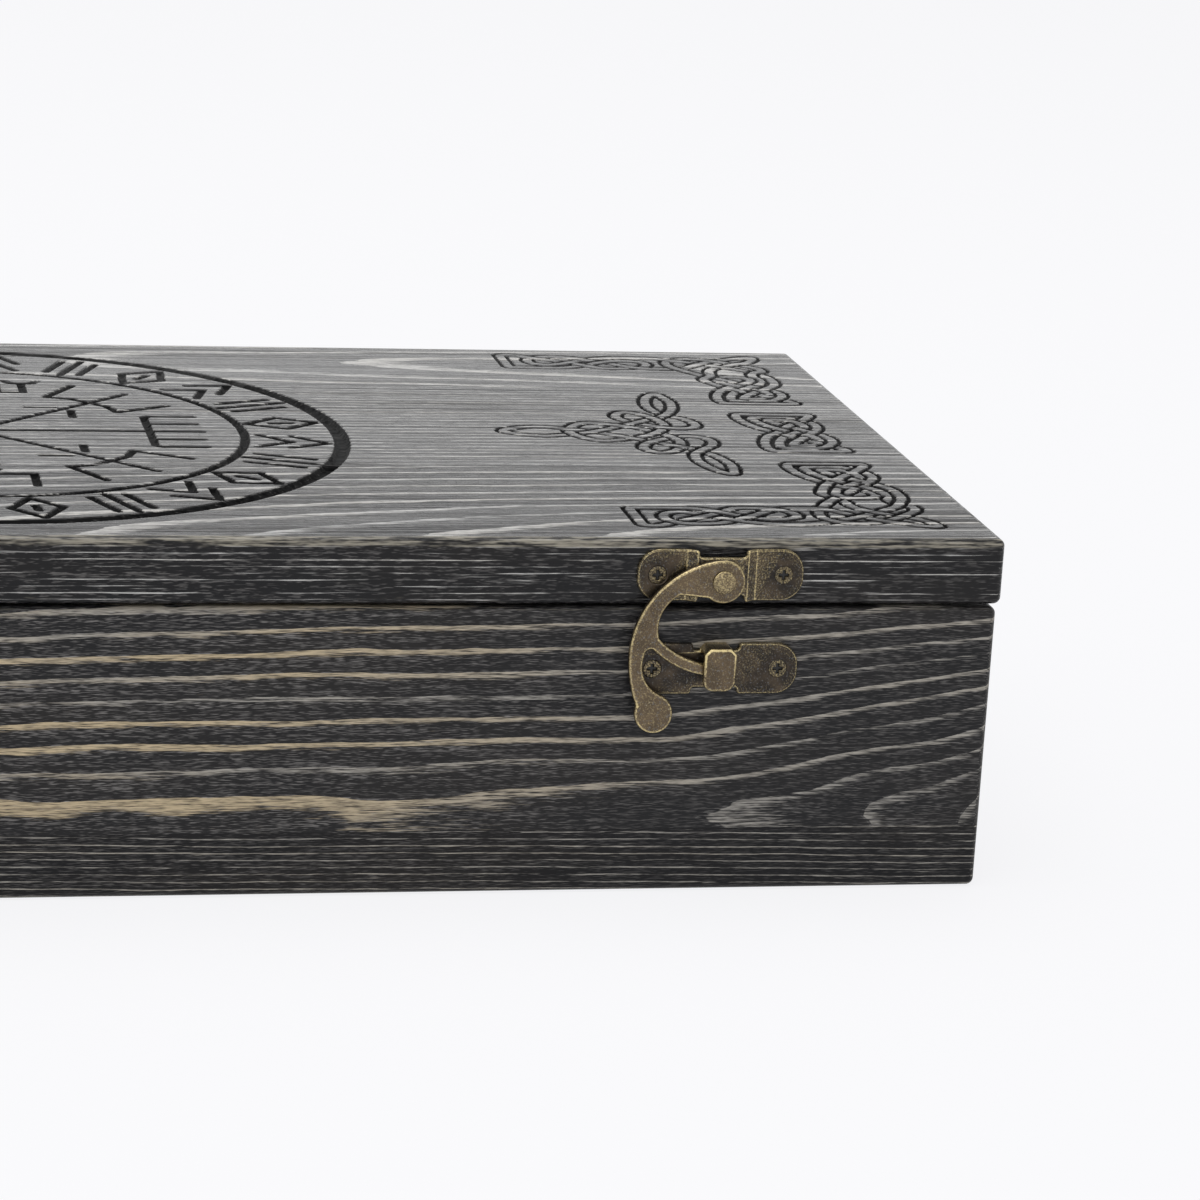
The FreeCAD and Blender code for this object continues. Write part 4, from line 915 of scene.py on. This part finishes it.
castings = {  # edge rounding in mm, and the spread of normals that counts as fully worn and highlit
    "hook": (0.7, 0.034), "pivot_plate": (0.12, 0.006), "catch_plate": (0.12, 0.006), "rivet": (0.35, 0.03),
    "hinge_case_leaf": (0.25, 0.03), "hinge_lid_leaf": (0.25, 0.03), "hinge_pin": (0.15, 0.03),
}
screws = {  # distance between the two screws of a plate in mm
    "latch_lid_screws": 30.4, "latch_case_screws": 30.4, "hinge_lid_screws": 20, "hinge_case_screws": 20,
}
screwShape = {
    "head": 2.3, "cone": 1.15, "shank": 1.1, "length": 10, "tip": 2.5, "rim": 0.3, "rimDrop": 0.22,
    "crossHalf": 1.3, "crossWidth": (0.5, 0.36), "crossDepth": 0.7, "crossWall": 0.14,
    "turns": 72, "rings": 26, "point": 0.02, "clear": 3.0,
}
castSet = {"join": 2e-6, "flat": math.radians(0.6), "sharp": math.radians(38), "segments": 4}


# Each metal part is its CAD node's own mesh, joined up, with its outward sharp edges rounded over.
def roundedCopy(node, width):
    shape = bmesh.new()
    shape.from_mesh(nodes[node].data)
    bmesh.ops.remove_doubles(shape, verts=shape.verts, dist=castSet["join"])
    bmesh.ops.dissolve_limit(shape, angle_limit=castSet["flat"], verts=shape.verts, edges=shape.edges)
    sharp = [e for e in shape.edges if e.is_manifold and e.calc_face_angle_signed() > castSet["sharp"]]
    bmesh.ops.bevel(
        shape, geom=sharp, offset=width / 1000, offset_type="OFFSET", segments=castSet["segments"],
        profile=0.5, affect="EDGES", clamp_overlap=False,
    )
    for face in shape.faces:
        face.smooth = True
    for edge in shape.edges:
        edge.smooth = not (edge.is_manifold and edge.calc_face_angle() > castSet["sharp"])
    mesh = bpy.data.meshes.new(node + "_cast")
    shape.to_mesh(mesh)
    shape.free()
    return mesh


# Edge wear with its painted highlight is how far the faces round a vertex point away from each other: nil on
# a flat, full on a rounded edge.
def edgeWearAndHighlight(mesh, fullSpread):
    normals = np.zeros(3 * len(mesh.polygons))
    mesh.polygons.foreach_get("normal", normals)
    sizes = np.zeros(len(mesh.polygons), np.int32)
    mesh.polygons.foreach_get("loop_total", sizes)
    corners = np.zeros(len(mesh.loops), np.int32)
    mesh.loops.foreach_get("vertex_index", corners)
    perCorner = np.repeat(normals.reshape(-1, 3), sizes, axis=0)
    total = np.zeros((len(mesh.vertices), 3))
    np.add.at(total, corners, perCorner)
    count = np.maximum(np.bincount(corners, minlength=len(mesh.vertices)), 1)
    return (1 - np.linalg.norm(total, axis=1) / count) / fullSpread


def awayFromScrewHoles(mesh):  # 0 round the screw holes and 1 elsewhere
    points = np.zeros(3 * len(mesh.vertices))
    mesh.vertices.foreach_get("co", points)
    points = 1000 * points.reshape(-1, 3)
    away = np.ones(len(points))
    for node, spacing in screws.items():
        for x, z in screwPlaces(node, spacing):
            away[np.hypot(points[:, 0] - x, points[:, 2] - z) < screwShape["clear"]] = 0
    return away


def screwPlaces(node, spacing):  # the middles of a node's four screws, across and up, in mm
    (_, _, zLow), (xHigh, _, zHigh) = [[1000 * v for v in c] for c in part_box(node)]
    outer = xHigh - screwShape["head"]
    return [(x, (zLow + zHigh) / 2) for x in (outer, outer - spacing, spacing - outer, -outer)]


# A screw is turned from rings: a flat head that drops at its rim, a cone, a shank and a point. The cross is a
# trough in the head, and dark dirt with painted shade lies in the cross and round the rim.
def screwMesh(node, spacing):
    s = screwShape
    yLow, yHigh = [1000 * c[1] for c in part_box(node)]
    front, inward = (yLow, 1) if yHigh < 0 else (yHigh, -1)
    radius = np.linspace(s["head"], s["point"], s["rings"])[::-1]
    angle = np.linspace(0, 2 * np.pi, s["turns"], endpoint=False) * inward
    u = radius[:, None] * np.cos(angle)
    v = radius[:, None] * np.sin(angle)
    armAlong = np.maximum(np.abs(u), np.abs(v))
    armWidth = np.interp(armAlong, (0, s["crossHalf"]), s["crossWidth"])
    inArm = np.clip((armWidth - np.minimum(np.abs(u), np.abs(v))) / s["crossWall"], 0, 1)
    inArm = inArm * np.clip((s["crossHalf"] - armAlong) / s["crossWall"], 0, 1)
    rim = np.clip((radius - s["head"] + s["rim"]) / s["rim"], 0, 1)[:, None]
    depth = s["crossDepth"] * inArm + s["rimDrop"] * rim
    # dark dirt and painted shade in the cross and round the rim
    sootAndShade = np.maximum(inArm, rim)
    turned = [(s["shank"], s["cone"]), (s["shank"], s["length"] - s["tip"]), (s["point"], s["length"])]
    for ring, deep in turned:
        u = np.vstack([u, ring * np.cos(angle)])
        v = np.vstack([v, ring * np.sin(angle)])
        depth = np.vstack([depth, np.full(len(angle), deep)])
        sootAndShade = np.vstack([sootAndShade, np.zeros(len(angle))])
    rings, turns = u.shape
    places = []
    quads = []
    caps = []
    i, j = np.meshgrid(np.arange(rings - 1), np.arange(turns), indexing="ij")
    k = (j + 1) % turns
    ring = np.arange(turns)
    for number, (x, middle) in enumerate(screwPlaces(node, spacing)):
        start = number * rings * turns
        places.append(np.stack([x + u, front + inward * depth, middle + v], 2).reshape(-1, 3))
        quad = np.stack([i * turns + j, (i + 1) * turns + j, (i + 1) * turns + k, i * turns + k], 2)
        quads.append(start + quad.reshape(-1, 4))
        caps += [start + ring, start + (rings - 1) * turns + ring[::-1]]
    quads = np.concatenate(quads)
    mesh = meshFrom(node + "_turned", np.concatenate(places), quads, caps, np.ones(len(quads), bool))
    # The recess layer is dark dirt and painted shade in the cross and round the rim
    addLayer(mesh, "recessDirtAndShade", np.tile(sootAndShade.ravel(), len(places)))
    return mesh


metals = {slot: brassFinish(slot, *shares) for slot, shares in metalFinishes.items()}
nodeSlot = {part["node"]: part["material_slot"] for part in frame["record"]["subparts"]}
nodeBody = {n: b for b, group in frame["record"]["behaviour"]["bodies"].items() for n in group}
for part, (width, fullSpread) in castings.items():
    for node in ("left_" + part, "right_" + part):
        mesh = roundedCopy(node, width)
        screwed = part.endswith(("plate", "leaf"))
        # The edges' wear layer also paints their highlight in gold
        addLayer(mesh, "wearAndHighlight", edgeWearAndHighlight(mesh, fullSpread) * (awayFromScrewHoles(mesh) if screwed else 1))
        mesh.materials.clear()
        addPiece(mesh.name, mesh, metals[nodeSlot[node]], nodeBody[node], nodeSlot[node], node)
for node, spacing in screws.items():
    mesh = screwMesh(node, spacing)
    addPiece(mesh.name, mesh, metals["screw_brass"], nodeBody[node], "screw_brass", node)
print("stage: latches and hinges finished,", 2 * len(castings) + len(screws), "pieces of metal")


# Floor, light and camera

studio = {
    "floor": linear(252, 252, 254), "floorHalf": 6.0, "floorHeight": -0.0003, "floorRoughness": 0.9,
    "floorSpecular": 0.1, "lift": 0.86, "sky": 0.55, "aim": (0, 0, 0.05),
}
softboxes = {
    "top_softbox": {"power": 11.0, "size": (1.6, 1.2), "place": (-0.2, 0.15, 1.6)},
    "front_softbox": {"power": 2.5, "size": (1.0, 0.7), "place": (-0.7, -1.3, 1.0)},
}
cameraSet = {
    "place": (-0.0648, -1.0219, 0.3247), "pitch": 15.08, "yaw": 12.55, "roll": -3.33, "focal": 4167.0,
    "frame": 1200, "sensor": 36, "reach": 50,
}


def seenDirectly(tree):  # 1 for what the camera sees, straight or in a reflection
    path = addNode(tree, "ShaderNodeLightPath").outputs
    either = calc(tree, "MAXIMUM", path["Is Camera Ray"], path["Is Glossy Ray"])
    return calc(tree, "MAXIMUM", either, path["Is Transmission Ray"])


half = studio["floorHalf"]
floorMesh = bpy.data.meshes.new("floor")
corners = ((-half, -half), (half, -half), (half, half), (-half, half))
floorMesh.from_pydata([(x, y, studio["floorHeight"]) for x, y in corners], [], [(0, 1, 2, 3)])
floor = bpy.data.objects.new("floor", floorMesh)
bpy.context.scene.collection.objects.link(floor)
paper = bpy.data.materials.new("white_paper")
paper.use_nodes = True
tree = paper.node_tree
shader = tree.nodes["Principled BSDF"]
fill(tree, shader, {"Base Color": studio["floor"], "Roughness": studio["floorRoughness"]})
shader.inputs["Specular IOR Level"].default_value = studio["floorSpecular"]
glow = addNode(tree, "ShaderNodeEmission", {"Color": studio["floor"], "Strength": 1.0})
lift = calc(tree, "MULTIPLY", seenDirectly(tree), studio["lift"])
mixed = addNode(tree, "ShaderNodeMixShader", {0: lift, 1: shader.outputs[0], 2: glow.outputs[0]})
tree.links.new(mixed.outputs[0], tree.nodes["Material Output"].inputs["Surface"])
floorMesh.materials.append(paper)

world = bpy.data.worlds.new("studio")
world.use_nodes = True
bpy.context.scene.world = world
tree = world.node_tree
strength = scaleAdd(tree, seenDirectly(tree), 1 - studio["sky"], studio["sky"])
fill(tree, tree.nodes["Background"], {"Strength": strength, "Color": (1, 1, 1, 1)})


def softbox(name, box):  # an oblong lamp that faces the aim
    lamp = bpy.data.lights.new(name, "AREA")
    lamp.energy = box["power"]
    lamp.shape = "RECTANGLE"
    lamp.size, lamp.size_y = box["size"]
    holder = bpy.data.objects.new(name, lamp)
    holder.location = box["place"]
    aim = np.array(studio["aim"]) - np.array(box["place"])
    tilt = math.acos(-aim[2] / np.linalg.norm(aim))
    holder.rotation_euler = (tilt, 0, math.atan2(aim[1], aim[0]) - math.pi / 2)
    bpy.context.scene.collection.objects.link(holder)


for name, box in softboxes.items():
    softbox(name, box)

pitch, yaw, roll = [math.radians(cameraSet[k]) for k in ("pitch", "yaw", "roll")]
ahead = np.array([math.sin(yaw) * math.cos(pitch), math.cos(yaw) * math.cos(pitch), -math.sin(pitch)])
level = np.array([math.cos(yaw), -math.sin(yaw), 0])
below = np.cross(ahead, level)
right = math.cos(roll) * level + math.sin(roll) * below
down = -math.sin(roll) * level + math.cos(roll) * below
lens = bpy.data.cameras.new("camera")
lens.sensor_width = cameraSet["sensor"]
lens.lens = cameraSet["sensor"] * cameraSet["focal"] / cameraSet["frame"]
lens.clip_end = cameraSet["reach"]
camera = bpy.data.objects.new("camera", lens)
turn = np.eye(4)
turn[:3, 0], turn[:3, 1], turn[:3, 2], turn[:3, 3] = right, -down, -ahead, cameraSet["place"]
camera.matrix_world = Matrix(turn.tolist())
bpy.context.scene.collection.objects.link(camera)
bpy.context.scene.camera = camera
bpy.context.scene.view_settings.view_transform = "Standard"
print("stage: studio set up")
